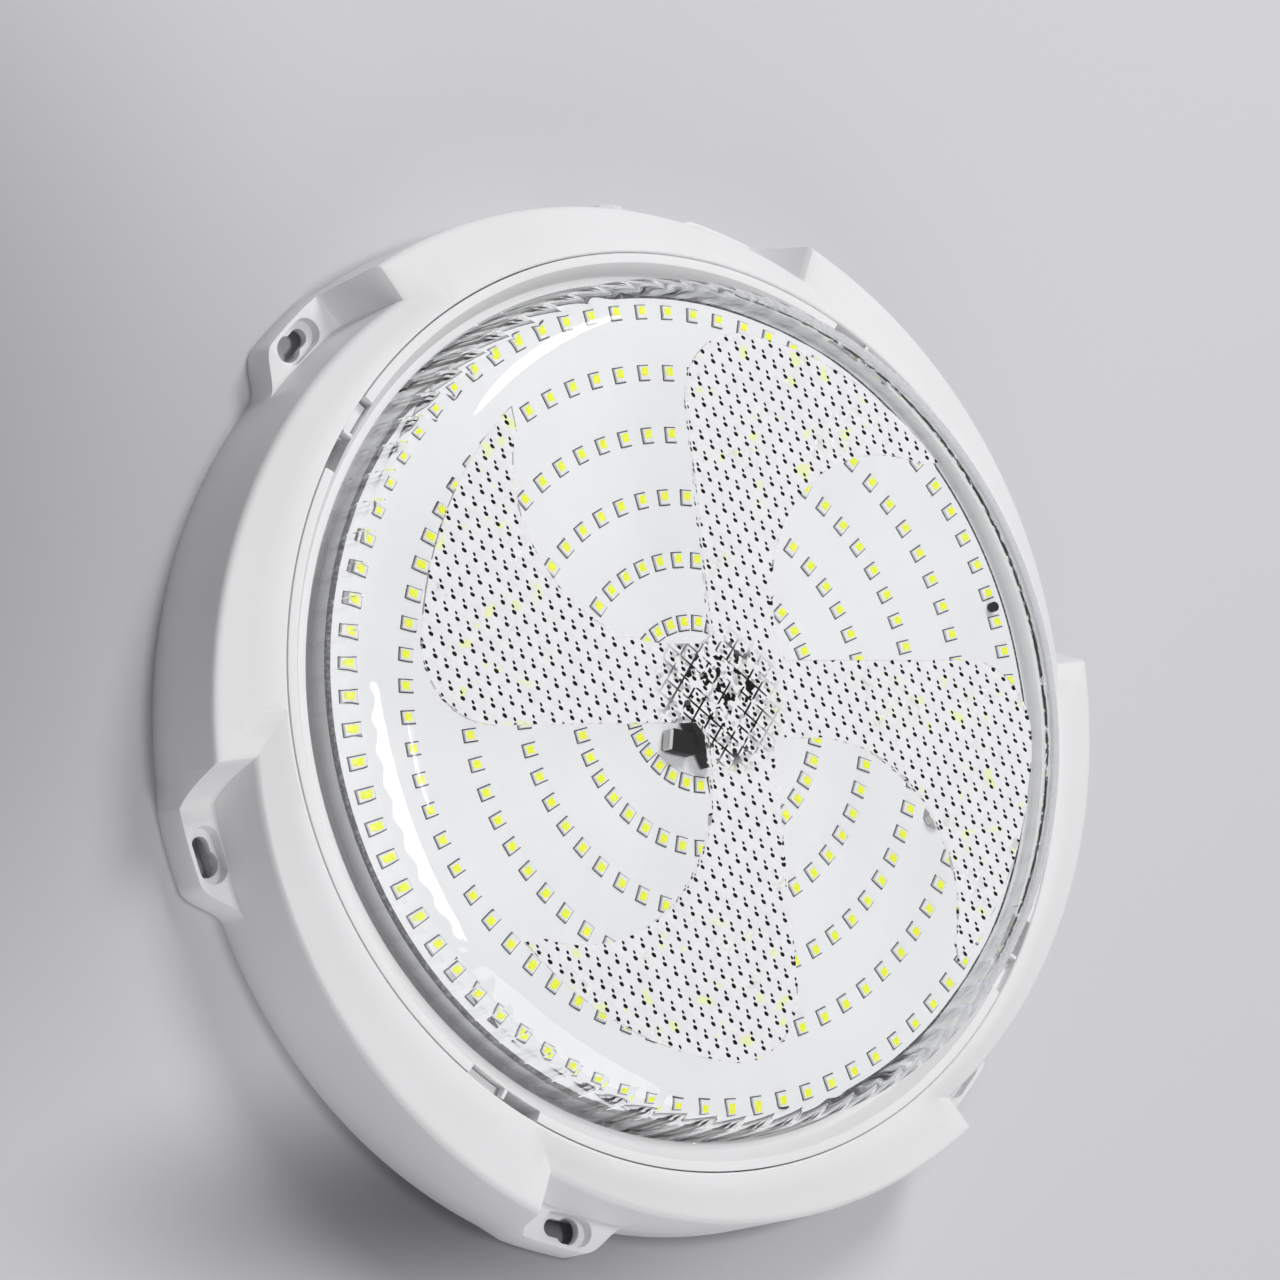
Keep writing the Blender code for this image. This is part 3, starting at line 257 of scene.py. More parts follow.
def add_piece(name, bm, look):
    """Makes an object of a finished bmesh, with its faces out and its soft edges smooth."""
    bmesh.ops.recalc_face_normals(bm, faces=bm.faces)
    mesh = bpy.data.meshes.new(name)
    bm.to_mesh(mesh)
    bm.free()
    mesh.shade_smooth()
    mesh.set_sharp_from_angle(angle=SOFT_ANGLE)
    mesh.materials.append(look)
    made = bpy.data.objects.new(name, mesh)
    bpy.context.scene.collection.objects.link(made)
    return made


def cut(target, bm, operation="DIFFERENCE"):
    """Cuts a finished bmesh out of a piece, or joins it on, and leaves no tool behind."""
    tool = add_piece("tool", bm, WHITE_LOOK)
    modifier = target.modifiers.new("cut", "BOOLEAN")
    modifier.operation = operation
    modifier.solver = "EXACT"
    modifier.object = tool
    settle(target)
    bpy.data.objects.remove(tool, do_unlink=True)


def settle(target):
    """Applies a piece's modifiers."""
    graph = bpy.context.evaluated_depsgraph_get()
    mesh = bpy.data.meshes.new_from_object(target.evaluated_get(graph))
    target.modifiers.clear()
    target.data = mesh
    mesh.shade_smooth()
    mesh.set_sharp_from_angle(angle=SOFT_ANGLE)


def soften(target, width):
    """Rounds a piece's sharp edges a little."""
    modifier = target.modifiers.new("soften", "BEVEL")
    modifier.width = width
    modifier.segments = BEVEL_SEGMENTS
    modifier.limit_method = "ANGLE"
    modifier.angle_limit = SOFT_ANGLE
    modifier.harden_normals = False
    settle(target)


def prism(bm, outline, low, high, matrix=Matrix(), top_outline=None):
    """A solid on a closed outline of (x, y) points, straight or with an outline of its own on top."""
    foot = [bm.verts.new(matrix @ Vector((x, y, low))) for x, y in outline]
    head = [bm.verts.new(matrix @ Vector((x, y, high))) for x, y in top_outline or outline]
    bm.faces.new(foot)
    bm.faces.new(head)
    for i in range(len(foot)):
        j = (i + 1) % len(foot)
        bm.faces.new((foot[i], foot[j], head[j], head[i]))


def ring_block(bm, low_r, high_r, start, end, low_z, high_z):
    """A block between two radii, two angles and two heights."""
    angles = [blend(start, end, i / BLOCK_STEPS) for i in range(BLOCK_STEPS + 1)]
    outline = [polar(high_r, a) for a in angles] + [polar(low_r, a) for a in reversed(angles)]
    prism(bm, [(p.x, p.y) for p in outline], low_z, high_z)


def revolve(bm, profile, segments, matrix=Matrix()):
    """Turns a closed profile of (radius, height) points round the Z axis."""
    rows = []
    for radius, z in profile:
        count = segments if radius > 0.0 else 1
        points = [polar(radius, 2.0 * pi * i / segments, z) for i in range(count)]
        rows.append([bm.verts.new(matrix @ point) for point in points])
    for row, following in zip(rows, rows[1:] + rows[:1]):
        for i in range(segments):
            j = (i + 1) % segments
            corners = [row[i % len(row)], row[j % len(row)]]
            corners += [following[j % len(following)], following[i % len(following)]]
            face = list(dict.fromkeys(corners))
            if len(face) > 2:
                bm.faces.new(face)


def disc(bm, radius, low, high, segments, matrix):
    """A round solid between two heights."""
    revolve(bm, [(0.0, low), (radius, low), (radius, high), (0.0, high)], segments, matrix)


def bend(start, corner, end, steps):
    """Points of a rounded corner."""
    shares = [i / steps for i in range(steps + 1)]
    return [
        tuple(
            a * (1.0 - t) ** 2 + b * 2.0 * t * (1.0 - t) + c * t ** 2
            for a, b, c in zip(start, corner, end)
        )
        for t in shares
    ]


def edge_radius(share):
    return EDGE_LOW_R + SECTOR_RISE * share


def rear_radius(share):
    return edge_radius(share) + blend(REAR_FLARE_LOW, REAR_FLARE_HIGH, share)


def wall_radius(share, z):
    return blend(rear_radius(share), edge_radius(share), min(z / WALL_TOP_Z, 1.0))


def front_profile(share):
    """The front from its brow over the soft shoulder line and the round edge to the top of the wall."""
    edge = edge_radius(share)
    shoulder = edge - SHOULDER_LOW - SHOULDER_GROWTH * share
    brow = COLLAR_R + COLLAR_ROUND
    soft = (shoulder - brow) * CREASE_SHARE
    middle = ((brow + shoulder) / 2.0, (FACE_Z + SHOULDER_Z) / 2.0 + FACE_SWELL)
    slope = (SHOULDER_Z - EDGE_Z) / (edge - shoulder)
    crease = bend(
        (shoulder - soft, blend(SHOULDER_Z, FACE_Z, CREASE_SHARE) + FACE_SWELL / 2.0),
        (shoulder, SHOULDER_Z),
        (shoulder + soft / 2.0, SHOULDER_Z - slope * soft / 2.0),
        CREASE_STEPS,
    )
    fillet = bend(
        (edge - EDGE_ROUND, EDGE_Z + slope * EDGE_ROUND),
        (edge, EDGE_Z + slope * EDGE_ROUND * EDGE_CORNER),
        (edge, WALL_TOP_Z),
        FILLET_STEPS,
    )
    return [middle, *crease, *fillet]


def housing_section(inner_share, outside):
    """Cross-section with the given points from the front face down to the rim."""
    brow = COLLAR_R + COLLAR_ROUND
    return [
        (BOARD_COLLAR_IN, BOARD_COLLAR_Z),
        (BOARD_COLLAR_R, BOARD_COLLAR_Z),
        (BOARD_COLLAR_R, TROUGH_Z),
        (COLLAR_R, TROUGH_Z),
        *bend((COLLAR_R, FACE_Z - COLLAR_ROUND), (COLLAR_R, FACE_Z), (brow, FACE_Z), COLLAR_STEPS),
        *outside,
        (wall_radius(inner_share, 0.0) - WALL, 0.0),
        (edge_radius(inner_share) - WALL, ROOF_Z),
        (COLLAR_OUT_R, SHOULDER_Z - EDGE_ROUND),
        (COLLAR_OUT_R, TROUGH_UNDER_Z),
        (BOARD_COLLAR_IN, TROUGH_UNDER_Z),
    ]


def ear_outside(turn):
    """Front, wall, ramp or ear, and rim at an angle past a step."""
    share = turn / SECTOR_TURN
    rear = rear_radius(share)
    ramp = min(turn / EAR_RAMP, 1.0)
    fall = RAMP_BEND * (1.0 - (1.0 - ramp) ** 2) + (1.0 - RAMP_BEND) * ramp
    top = blend(WALL_TOP_Z, EAR_Z, fall)
    draw_in = max((turn - EAR_FLAT_END) / (EAR_END - EAR_FLAT_END), 0.0)
    full = blend(wall_radius(share, EAR_Z), EAR_R, 0.5 + 0.5 * cos(pi * draw_in))
    outer = blend(edge_radius(1.0), full, ramp)
    flare = blend(REAR_FLARE_HIGH, rear - wall_radius(share, EAR_Z), draw_in)
    front = front_profile(share)
    heel = outer + flare * (1.0 - EAR_Z / top)
    lip = [(outer, top)] * len(front)
    return [*front, (wall_radius(share, top), top), *lip, (heel, EAR_Z), (outer + flare, 0.0)]


def height_on(profile, radius):
    """Height of a falling profile of (radius, height) points at a radius."""
    for (near, high), (far, low) in zip(profile, profile[1:]):
        if near < far and radius <= far:
            return blend(high, low, (radius - near) / (far - near))
    return profile[-1][1]


def scooped_outside(turn):
    """Front, wall and rim ahead of a step, with the scoop that runs from the front to the ramp."""
    share = turn / SECTOR_TURN
    along = max(1.0 - (SECTOR_TURN - turn) / SCOOP_TURN, 0.0)
    brow = (COLLAR_R + COLLAR_ROUND, FACE_Z)
    own = front_profile(share)
    following = front_profile(0.0)
    reach = blend(brow[0], EDGE_LOW_R, along)
    foot = (reach, WALL_TOP_Z if along == 1.0 else height_on([brow, *following], reach))
    near = [point if point[0] < reach else foot for point in following]
    if along == 1.0:
        near = following
    far = own
    if along > 0.0:
        lip_r = blend(own[CREASE_MIDDLE][0], own[-1][0], along ** 2)
        lip = own[-1] if along == 1.0 else (lip_r, height_on(own, lip_r))
        far = [point if point[0] > lip_r else lip for point in own]
    return [*near, foot, *far, (wall_radius(share, EAR_Z), EAR_Z), (rear_radius(share), 0.0)]


def sector_sections():
    """Sections past a step as far as its ear's end, and those from there to the next step.

    The inner side of a step lies a wall's thickness ahead of its outer side.
    """
    scoop = SECTOR_TURN - SCOOP_TURN
    inside = SECTOR_TURN - (WALL + STEP_DRAFT) / EDGE_LOW_R
    drafted = SECTOR_TURN - WALL / EDGE_LOW_R
    eared = [EAR_RAMP * i / RAMP_STEPS for i in range(RAMP_STEPS)]
    eared += [blend(EAR_RAMP, EAR_FLAT_END, i / EAR_STEPS) for i in range(EAR_STEPS)]
    eared += [blend(EAR_FLAT_END, EAR_END, i / EAR_CURVE_STEPS) for i in range(EAR_CURVE_STEPS + 1)]
    plain = [blend(EAR_END, scoop, i / PLAIN_STEPS) for i in range(PLAIN_STEPS)]
    plain += [blend(scoop, SECTOR_TURN, i / SCOOP_STEPS) for i in range(SCOOP_STEPS)]
    full = [turn for turn in plain if turn < inside - STEP_DRAFT] + [inside]
    narrow = [drafted] + [turn for turn in plain if turn > drafted + STEP_DRAFT] + [SECTOR_TURN]
    return (
        [(turn, housing_section(turn / SECTOR_TURN, ear_outside(turn))) for turn in eared],
        [(turn, housing_section(turn / SECTOR_TURN, scooped_outside(turn))) for turn in full]
        + [(turn, housing_section(0.0, scooped_outside(turn))) for turn in narrow],
    )


def housing_runs():
    """Runs of loops round the light. Each run starts on the last loop of the one before."""
    runs = []
    for sector in range(SECTORS):
        start = SECTOR_START + SECTOR_TURN * sector
        for run in sector_sections():
            runs.append([[polar(r, start + turn, z) for r, z in section] for turn, section in run])
    return runs


def loft(bm, runs):
    """Skins runs of loops. Points that fall together are shared."""
    pool = {}
    for run in runs:
        rows = []
        for loop in run:
            row = []
            for point in loop:
                key = tuple(round(value / SAME_POINT) for value in point)
                if key not in pool:
                    pool[key] = bm.verts.new(point)
                row.append(pool[key])
            rows.append(row)
        for near, far in zip(rows, rows[1:]):
            for i in range(len(near)):
                j = (i + 1) % len(near)
                face = list(dict.fromkeys((near[i], near[j], far[j], far[i])))
                if len(face) > 2:
                    bm.faces.new(face)


def half_round(middle, radius, first):
    """Points of half a circle round a place on the X axis."""
    angles = [first + pi * i / ROUND_STEPS for i in range(ROUND_STEPS + 1)]
    return [(middle + radius * cos(a), radius * sin(a)) for a in angles]


def recess_outline():
    reach = (RECESS_LONG - RECESS_WIDE) / 2.0
    right = half_round(reach, RECESS_WIDE / 2.0, -pi / 2.0)
    return right + [(-x, -y) for x, y in right]


def keyhole_outline():
    """Round head for a screw's head, and a slot for its shank."""
    half = KEYHOLE_SLOT_WIDE / 2.0
    reach = atan2(half, -sqrt(KEYHOLE_HEAD_R ** 2 - half ** 2))
    angles = [blend(-reach, reach, i / (2 * ROUND_STEPS)) for i in range(2 * ROUND_STEPS + 1)]
    head = [(KEYHOLE_HEAD_SHIFT + KEYHOLE_HEAD_R * cos(a), KEYHOLE_HEAD_R * sin(a)) for a in angles]
    return head + half_round(-KEYHOLE_SLOT_SHIFT, half, pi / 2.0)


def ear_frame(sector):
    """Middle of an ear's recess, with X along the wall."""
    angle = SECTOR_START + SECTOR_TURN * sector + RECESS_TURN
    outward = Matrix.Rotation(angle, 4, "Z") @ Matrix.Translation((EAR_R - RECESS_IN, 0.0, 0.0))
    return outward @ Matrix.Rotation(pi / 2.0, 4, "Z")


def inlet_frame():
    """Middle of the cable inlet, with Z pointing out of the side wall."""
    lift = Matrix.Translation((0.0, 0.0, INLET_Z))
    return Matrix.Rotation(INLET_ANGLE, 4, "Z") @ lift @ Matrix.Rotation(pi / 2.0, 4, "Y")


def make_housing():
    bm = bmesh.new()
    loft(bm, housing_runs())
    housing = add_piece("housing_shell", bm, WHITE_LOOK)
    recesses = bmesh.new()
    pockets = bmesh.new()
    keyholes = bmesh.new()
    wall = rear_radius(RECESS_TURN / SECTOR_TURN)
    for sector in range(SECTORS):
        place = ear_frame(sector)
        start = SECTOR_START + SECTOR_TURN * sector
        prism(recesses, recess_outline(), RECESS_Z, EAR_Z + CUT_OVER, place)
        ring_block(
            pockets, wall + POCKET_GAP, EAR_R - POCKET_RIM,
            start + POCKET_START, start + POCKET_END, -CUT_OVER, POCKET_Z,
        )
        prism(keyholes, keyhole_outline(), POCKET_Z - CUT_OVER, RECESS_Z + CUT_OVER, place)
    for cutter in (recesses, pockets, keyholes):
        cut(housing, cutter)
    lugs = bmesh.new()
    for i in range(LOCK_COUNT):
        start = LOCK_START + 2.0 * pi * i / LOCK_COUNT
        ring_block(
            lugs, LOCK_R + LUG_GAP, COLLAR_R + WALL / 2.0,
            start + LOCK_PLAY, start + LOCK_WINDOW - LOCK_PLAY, LUG_Z, LUG_Z + LUG_THICK,
        )
    cut(housing, lugs, "UNION")
    share = ((INLET_ANGLE - SECTOR_START) / SECTOR_TURN) % 1.0
    proud = wall_radius(share, INLET_Z) + INLET_PROUD
    deep = proud - WALL - 2.0 * INLET_PROUD
    pad = bmesh.new()
    disc(pad, INLET_PAD_R, deep, proud, INLET_SEGMENTS, inlet_frame())
    cut(housing, pad, "UNION")
    hole = bmesh.new()
    disc(hole, INLET_HOLE_R, deep - CUT_OVER, proud + CUT_OVER, INLET_SEGMENTS, inlet_frame())
    cut(housing, hole)
    soften(housing, SHELL_BEVEL)
    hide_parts("housing")
    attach(housing, "base")


make_housing()

# The cable inlet is a grommet in pale rubber. It is pushed into a round hole in the housing's side wall,
# and its collar lies against the flat pad there.

GROMMET_WHITE = (0.62, 0.62, 0.63, 1.0)
GROMMET_PALE = (0.72, 0.72, 0.73, 1.0)
RUBBER_BLOOM = (160.0, 4.0)
RUBBER_GRAIN = (4200.0, 2.0)


def matt_rubber(name, low, high):
    made, look = new_look(name)
    bloom = look.noise(*RUBBER_BLOOM)
    grain = look.noise(*RUBBER_GRAIN)
    set_look(
        made,
        Base_Color=bloom.mix(low, high),
        Roughness=0.62 + bloom * 0.2,
        Normal=grain.bump(0.25, GRAIN_DEEP),
    )
    return made


def dress(look, *names):
    """Gives CAD nodes a look."""
    for name in names:
        for slot in nodes[name].material_slots:
            slot.material = look


dress(matt_rubber("grommet_rubber", GROMMET_WHITE, GROMMET_PALE), "cable_grommet")

# The seal under the cover is a ring of pale grey rubber with an L-shaped section. It lies in the
# housing's trough, and its lip stands against the collar that carries the board.

SEAL_IN_R = 0.1007
SEAL_LIP_R = 0.1014
SEAL_OUT_R = 0.1086
SEAL_FOOT_Z = 0.0223
SEAL_TOP_Z = 0.0243
SEAL_LIP_Z = 0.0318
SEAL_SEGMENTS = 160
SEAL_GREY = (0.72, 0.72, 0.725, 1.0)
SEAL_PALE = (0.79, 0.79, 0.795, 1.0)


def make_seal():
    bm = bmesh.new()
    profile = [
        (SEAL_IN_R, SEAL_FOOT_Z),
        (SEAL_OUT_R, SEAL_FOOT_Z),
        (SEAL_OUT_R, SEAL_TOP_Z),
        (SEAL_LIP_R, SEAL_TOP_Z),
        (SEAL_LIP_R, SEAL_LIP_Z),
        (SEAL_IN_R, SEAL_LIP_Z),
    ]
    revolve(bm, profile, SEAL_SEGMENTS)
    seal = add_piece("cover_seal", bm, matt_rubber("seal_rubber", SEAL_GREY, SEAL_PALE))
    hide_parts("lens_seal")
    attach(seal, "base")


make_seal()

# The LED board is one white solder-masked plate. Six rings of white packages with a yellow phosphor
# window are soldered on it, each with its long side along the radius and a dark line of painted shade
# round its foot.

BOARD_R = 0.1027
BOARD_Z = 0.0324
BOARD_TOP_Z = 0.0340
BOARD_ROUND = 0.0002
BOARD_RIM = 0.0008
BOARD_SEGMENTS = 240
BOARD_UPRIGHT = 0.5
SCREW_RING_R = 0.0746
SCREW_START = radians(66.8)
SCREW_COUNT = 4
SCREW_HOLE_R = 0.0016
SCREW_HOLE_SEGMENTS = 32
LED_COUNTS = (30, 40, 48, 60, 70, 80)
LED_FIRST_R = 0.0200
LED_RING_STEP = 0.0156
LED_START = radians(12.0)
LED_LONG = 0.0035
LED_WIDE = 0.0028
LED_HIGH = 0.0007
LED_ROUND = 0.00012
LED_OUTLINE = 0.00028
OUTLINE_HIGH = 0.00006
WINDOW_LONG = 0.0021
WINDOW_WIDE = 0.0019
WINDOW_SHIFT = 0.0003
WINDOW_HIGH = 0.00012
WINDOW_CUT = 0.0005
MASK_WHITE = (0.84, 0.84, 0.85, 1.0)
MASK_SHADE = (0.80, 0.80, 0.815, 1.0)
LED_SHADE_DARK = (0.040, 0.036, 0.050, 1.0)
EDGE_DARK = (0.012, 0.012, 0.013, 1.0)
EDGE_GREY = (0.16, 0.16, 0.16, 1.0)
PACKAGE_WHITE = (0.80, 0.80, 0.80, 1.0)
PHOSPHOR = (0.86, 0.93, 0.012, 1.0)
PHOSPHOR_PALE = (0.93, 0.97, 0.14, 1.0)
MASK_CLOUDS = (40.0, 3.0, 0.5, 0.35)
MASK_GRAIN = (3000.0, 2.0)
EDGE_GRAIN = (1200.0, 3.0)
EDGE_GREY_PATCHES = (0.55, 0.1)
LED_SHADE_GRAIN = (1800.0, 3.0)
PACKAGE_GRAIN = (2400.0, 2.0)
PHOSPHOR_GRAIN = (1500.0, 3.0)
PHOSPHOR_EDGE = (0.55, 0.2)
PHOSPHOR_DEEP = 0.00005


def solder_mask():
    made, look = new_look("solder_mask")
    grain = look.noise(*MASK_GRAIN)
    set_look(
        made,
        Base_Color=look.patches(*MASK_CLOUDS).mix(MASK_WHITE, MASK_SHADE),
        Roughness=0.42 + grain * 0.12,
        Normal=grain.bump(0.12, GRAIN_DEEP),
    )
    return made


# The board's top rim and upright side are near black, with grey patches here and there: a dark line along
# the board's edge.
def bare_edge():
    made, look = new_look("bare_edge")
    grain = look.noise(*EDGE_GRAIN)
    grey_patch = grain.edge(*EDGE_GREY_PATCHES)
    set_look(made, Base_Color=grey_patch.mix(EDGE_DARK, EDGE_GREY), Roughness=0.45 + grain * 0.2)
    return made


# A dark ring round each package's foot: painted shade at the package's sides.
def dull_solder():
    made, look = new_look("dull_solder")
    grain = look.noise(*LED_SHADE_GRAIN)
    set_look(made, Base_Color=LED_SHADE_DARK, Roughness=0.4 + grain * 0.3, Metallic=0.3)
    return made


def package_white():
    made, look = new_look("package_white")
    grain = look.noise(*PACKAGE_GRAIN)
    set_look(made, Base_Color=PACKAGE_WHITE, Roughness=0.35 + grain * 0.15)
    return made


def yellow_phosphor():
    made, look = new_look("yellow_phosphor")
    grain = look.noise(*PHOSPHOR_GRAIN)
    set_look(
        made,
        Base_Color=grain.edge(*PHOSPHOR_EDGE).mix(PHOSPHOR, PHOSPHOR_PALE),
        Roughness=0.3 + grain * 0.2,
        Normal=grain.bump(0.2, PHOSPHOR_DEEP),
    )
    return made


def led_places():
    for ring, count in enumerate(LED_COUNTS):
        out = Matrix.Translation((LED_FIRST_R + LED_RING_STEP * ring, 0.0, 0.0))
        for i in range(count):
            yield Matrix.Rotation(LED_START + 2.0 * pi * i / count, 4, "Z") @ out


def oblong(long, wide):
    x, y = long / 2.0, wide / 2.0
    return [(-x, -y), (x, -y), (x, y), (-x, y)]


def window_outline(inset=0.0):
    """The phosphor window, with the corner at the package's cathode cut off."""
    x, y = WINDOW_LONG / 2.0 - inset, WINDOW_WIDE / 2.0 - inset
    left, right = WINDOW_SHIFT - x, WINDOW_SHIFT + x
    return [(left, -y), (right, -y), (right, y - WINDOW_CUT), (right - WINDOW_CUT, y), (left, y)]


def make_board():
    bm = bmesh.new()
    profile = [
        (0.0, BOARD_Z),
        (BOARD_R - BOARD_ROUND, BOARD_Z),
        (BOARD_R, BOARD_Z + BOARD_ROUND),
        (BOARD_R, BOARD_TOP_Z - BOARD_ROUND),
        (BOARD_R - BOARD_ROUND, BOARD_TOP_Z),
        (BOARD_R - BOARD_RIM, BOARD_TOP_Z),
        (0.0, BOARD_TOP_Z),
    ]
    revolve(bm, profile, BOARD_SEGMENTS)
    board = add_piece("led_plate", bm, solder_mask())
    board.data.materials.append(bare_edge())
    for face in board.data.polygons:
        rim = face.center.z > BOARD_Z + BOARD_ROUND and face.center.xy.length > BOARD_R - BOARD_RIM
        if rim or abs(face.normal.z) < BOARD_UPRIGHT:
            face.material_index = 1
    holes = bmesh.new()
    for i in range(SCREW_COUNT):
        place = Matrix.Translation(polar(SCREW_RING_R, SCREW_START + 2.0 * pi * i / SCREW_COUNT))
        disc(holes, SCREW_HOLE_R, BOARD_Z - CUT_OVER, BOARD_TOP_Z + CUT_OVER, SCREW_HOLE_SEGMENTS, place)
    cut(board, holes)
    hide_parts("led_board")
    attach(board, "base")


def make_leds():
    outlines = bmesh.new()
    bodies = bmesh.new()
    windows = bmesh.new()
    line = oblong(LED_LONG + 2.0 * LED_OUTLINE, LED_WIDE + 2.0 * LED_OUTLINE)
    foot = oblong(LED_LONG, LED_WIDE)
    head = oblong(LED_LONG - 2.0 * LED_ROUND, LED_WIDE - 2.0 * LED_ROUND)
    top = BOARD_TOP_Z + LED_HIGH
    for place in led_places():
        prism(outlines, line, BOARD_TOP_Z, BOARD_TOP_Z + OUTLINE_HIGH, place)
        prism(bodies, foot, BOARD_TOP_Z + OUTLINE_HIGH, top, place, head)
        prism(windows, window_outline(), top, top + WINDOW_HIGH, place, window_outline(LED_ROUND))
    pieces = [
        add_piece("led_solder_lines", outlines, dull_solder()),
        add_piece("led_packages", bodies, package_white()),
        add_piece("led_windows", windows, yellow_phosphor()),
    ]
    for piece in pieces:
        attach(piece, "base")


make_board()
make_leds()

# The sensors are moulded in black plastic and soldered to the board: a photocell between two LEDs of the
# outer ring, and the receiver of the remote control, with its tin screen, beside an upright holder near
# the middle.

BLACK = (0.004, 0.004, 0.004, 1.0)
BLACK_WORN = (0.012, 0.012, 0.013, 1.0)
HOLDER_SIZE = (0.0031, 0.0130, 0.0040)
HOLDER_PLACE = (-0.0024, -0.0097, 0.0363)
HOLDER_TURN = radians(22.0)
HEAD_SIZE = (0.0066, 0.0056, 0.0034)
HEAD_PLACE = (-0.0078, -0.0098, 0.0360)
HEAD_TURN = radians(-12.0)
SCREEN_SIZE = (0.0013, 0.0050, 0.0030)
SCREEN_SHIFT = 0.0035
SENSOR_BEVEL = 0.0003
SCREEN_GREY = (0.55, 0.55, 0.56, 1.0)
SCREEN_PALE = (0.70, 0.70, 0.70, 1.0)
SCREEN_FINISH = (400.0, 0.3)
BLACK_GRAIN = (1400.0, 3.0)
FINER = 8.0


def mottled(name, low, high, finish, **sockets):
    """Two close colours, uneven gloss and a fine grain. A finish is a scale and a roughness."""
    made, look = new_look(name)
    scale, roughness = finish
    cloud = look.noise(scale, 3.0)
    set_look(
        made,
        Base_Color=cloud.mix(low, high),
        Roughness=roughness + cloud * 0.15,
        Normal=look.noise(scale * FINER, 2.0).bump(0.15, GRAIN_DEEP),
        **sockets,
    )
    return made


def black_plastic():
    made, look = new_look("black_plastic")
    grain = look.noise(*BLACK_GRAIN)
    set_look(
        made,
        Base_Color=grain.mix(BLACK, BLACK_WORN),
        Roughness=0.35 + grain * 0.25,
        Normal=grain.bump(0.2, GRAIN_DEEP),
        Specular_IOR_Level=0.15,
    )
    return made


BLACK_LOOK = black_plastic()
dress(BLACK_LOOK, "photocell", "battery_cradle", "controller_chip", "controller_capacitor")


def make_block(name, size, place, look, node):
    """A small block with soft edges in place of a node on the board."""
    bm = bmesh.new()
    prism(bm, oblong(size[0], size[1]), -size[2] / 2.0, size[2] / 2.0, place)
    made = add_piece(name, bm, look)
    soften(made, SENSOR_BEVEL)
    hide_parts(node)
    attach(made, "base")


def make_receiver():
    holder = Matrix.Translation(HOLDER_PLACE) @ Matrix.Rotation(HOLDER_TURN, 4, "Z")
    head = Matrix.Translation(HEAD_PLACE) @ Matrix.Rotation(HEAD_TURN, 4, "Z")
    screen = head @ Matrix.Translation((-SCREEN_SHIFT, 0.0, 0.0))
    tin = mottled("tin_screen", SCREEN_GREY, SCREEN_PALE, SCREEN_FINISH)
    make_block("remote_holder", HOLDER_SIZE, holder, BLACK_LOOK, "ir_holder")
    make_block("remote_receiver", HEAD_SIZE, head, BLACK_LOOK, "ir_receiver")
    make_block("receiver_screen", SCREEN_SIZE, screen, tin, "ir_receiver")


make_receiver()

# The cover is one moulding in clear plastic: a low dome with a round shoulder, and on its inner side four
# blades of small square prisms that turn round the middle like a pinwheel and spread the light.

LENS_OUT_R = 0.1057
LENS_WALL = 0.0016
LENS_FLANGE_R = 0.1092
LENS_FOOT_Z = 0.0246
LENS_FLANGE_Z = 0.0269
LENS_EDGE_Z = 0.0537
LENS_CROWN = 0.0010
LENS_DRAFT = 0.0014
LENS_SHOULDER = 0.0127
LENS_SEGMENTS = 192
SHOULDER_STEPS = 18
CROWN_STEPS = 6
FLUTES = 80
FLUTE_DEEP = 0.0004
FLUTE_TOP_Z = 0.0470
FLUTE_FADE = 0.003
SMEARS = (60.0, 3.0)
CRACKLE_Z = 0.0436
CRACKLE_EDGE = (0.0007, 0.0003)
CRACKLE_WAVE = (300.0, 2.0)
CRACKLE_UNEVEN = 0.0008
CRACKLE_WAY = (0.906, 0.423)
CRACKLE_START = (0.042, 0.012)
CRACKLE_BREAKS = (420.0, 3.0, 0.43, 0.03)
PAINTED_CRACKLE_BLACK = (0.004, 0.004, 0.004, 1.0)
BLADE_COUNT = 4
BLADE_TIP_R = 0.0894
BLADE_OFFSET = 0.0074
BLADE_CORNER_R = 0.0180
BLADE_ROOT = 0.0115
BLADE_HOLLOW_UP = 0.0200
BLADE_HUB_R = 0.0155
BLADE_HUB_STEPS = 8
BLADE_TIP_CUT = 0.0042
BLADE_TIP_ANGLE = radians(40.2)
BLADE_HEEL_ANGLE = radians(42.1)
BLADE_ARC_STEPS = 24
PRISM_PITCH = 0.00371
PRISM_TURN = radians(51.0)
PRISM_HIGH = 0.0004
PRISM_UNEVEN = 0.00015
PRISM_SEED = 7
PRISM_TIP_Z = 0.0511
PRISM_TOP_Z = 0.0533
PRISM_SHARP = radians(6.0)
CLEAR = (0.97, 0.98, 0.985, 1.0)
CLEAR_IOR = 1.49
DULL_LAYER_SHINE = 0.1
PRISM_PALE = (0.95, 0.95, 0.96, 1.0)
PAINTED_GLINT_BLACK = (0.0, 0.0, 0.0, 1.0)
GLINT_LOW = (0.02, -0.17)
GLINT_LOW_SIZE = (0.15, 0.1575)
GLINT_HIGH = (0.10, 0.22)
GLINT_HIGH_SIZE = (0.093, 0.1275)
GLINT_EDGE = (1.0, 0.15)
GLINT_SLANT = 0.35
GLINT_WOBBLE = (700.0, 1.0)
GLINT_UNEVEN = 1.2
FROST_WHITE = (0.83, 0.83, 0.84, 1.0)
FROST_PINK = (0.80, 0.78, 0.80, 1.0)
PAINTED_THICKET_GREY = (0.25, 0.25, 0.26, 1.0)
FROST_TINT = (300.0, 2.0, 0.5, 0.2)
LIT_START = (0.055, 0.01)
LIT_PATCHES = (210.0, 1.0, 0.68, 0.02)
LIT_SHARE = 0.65
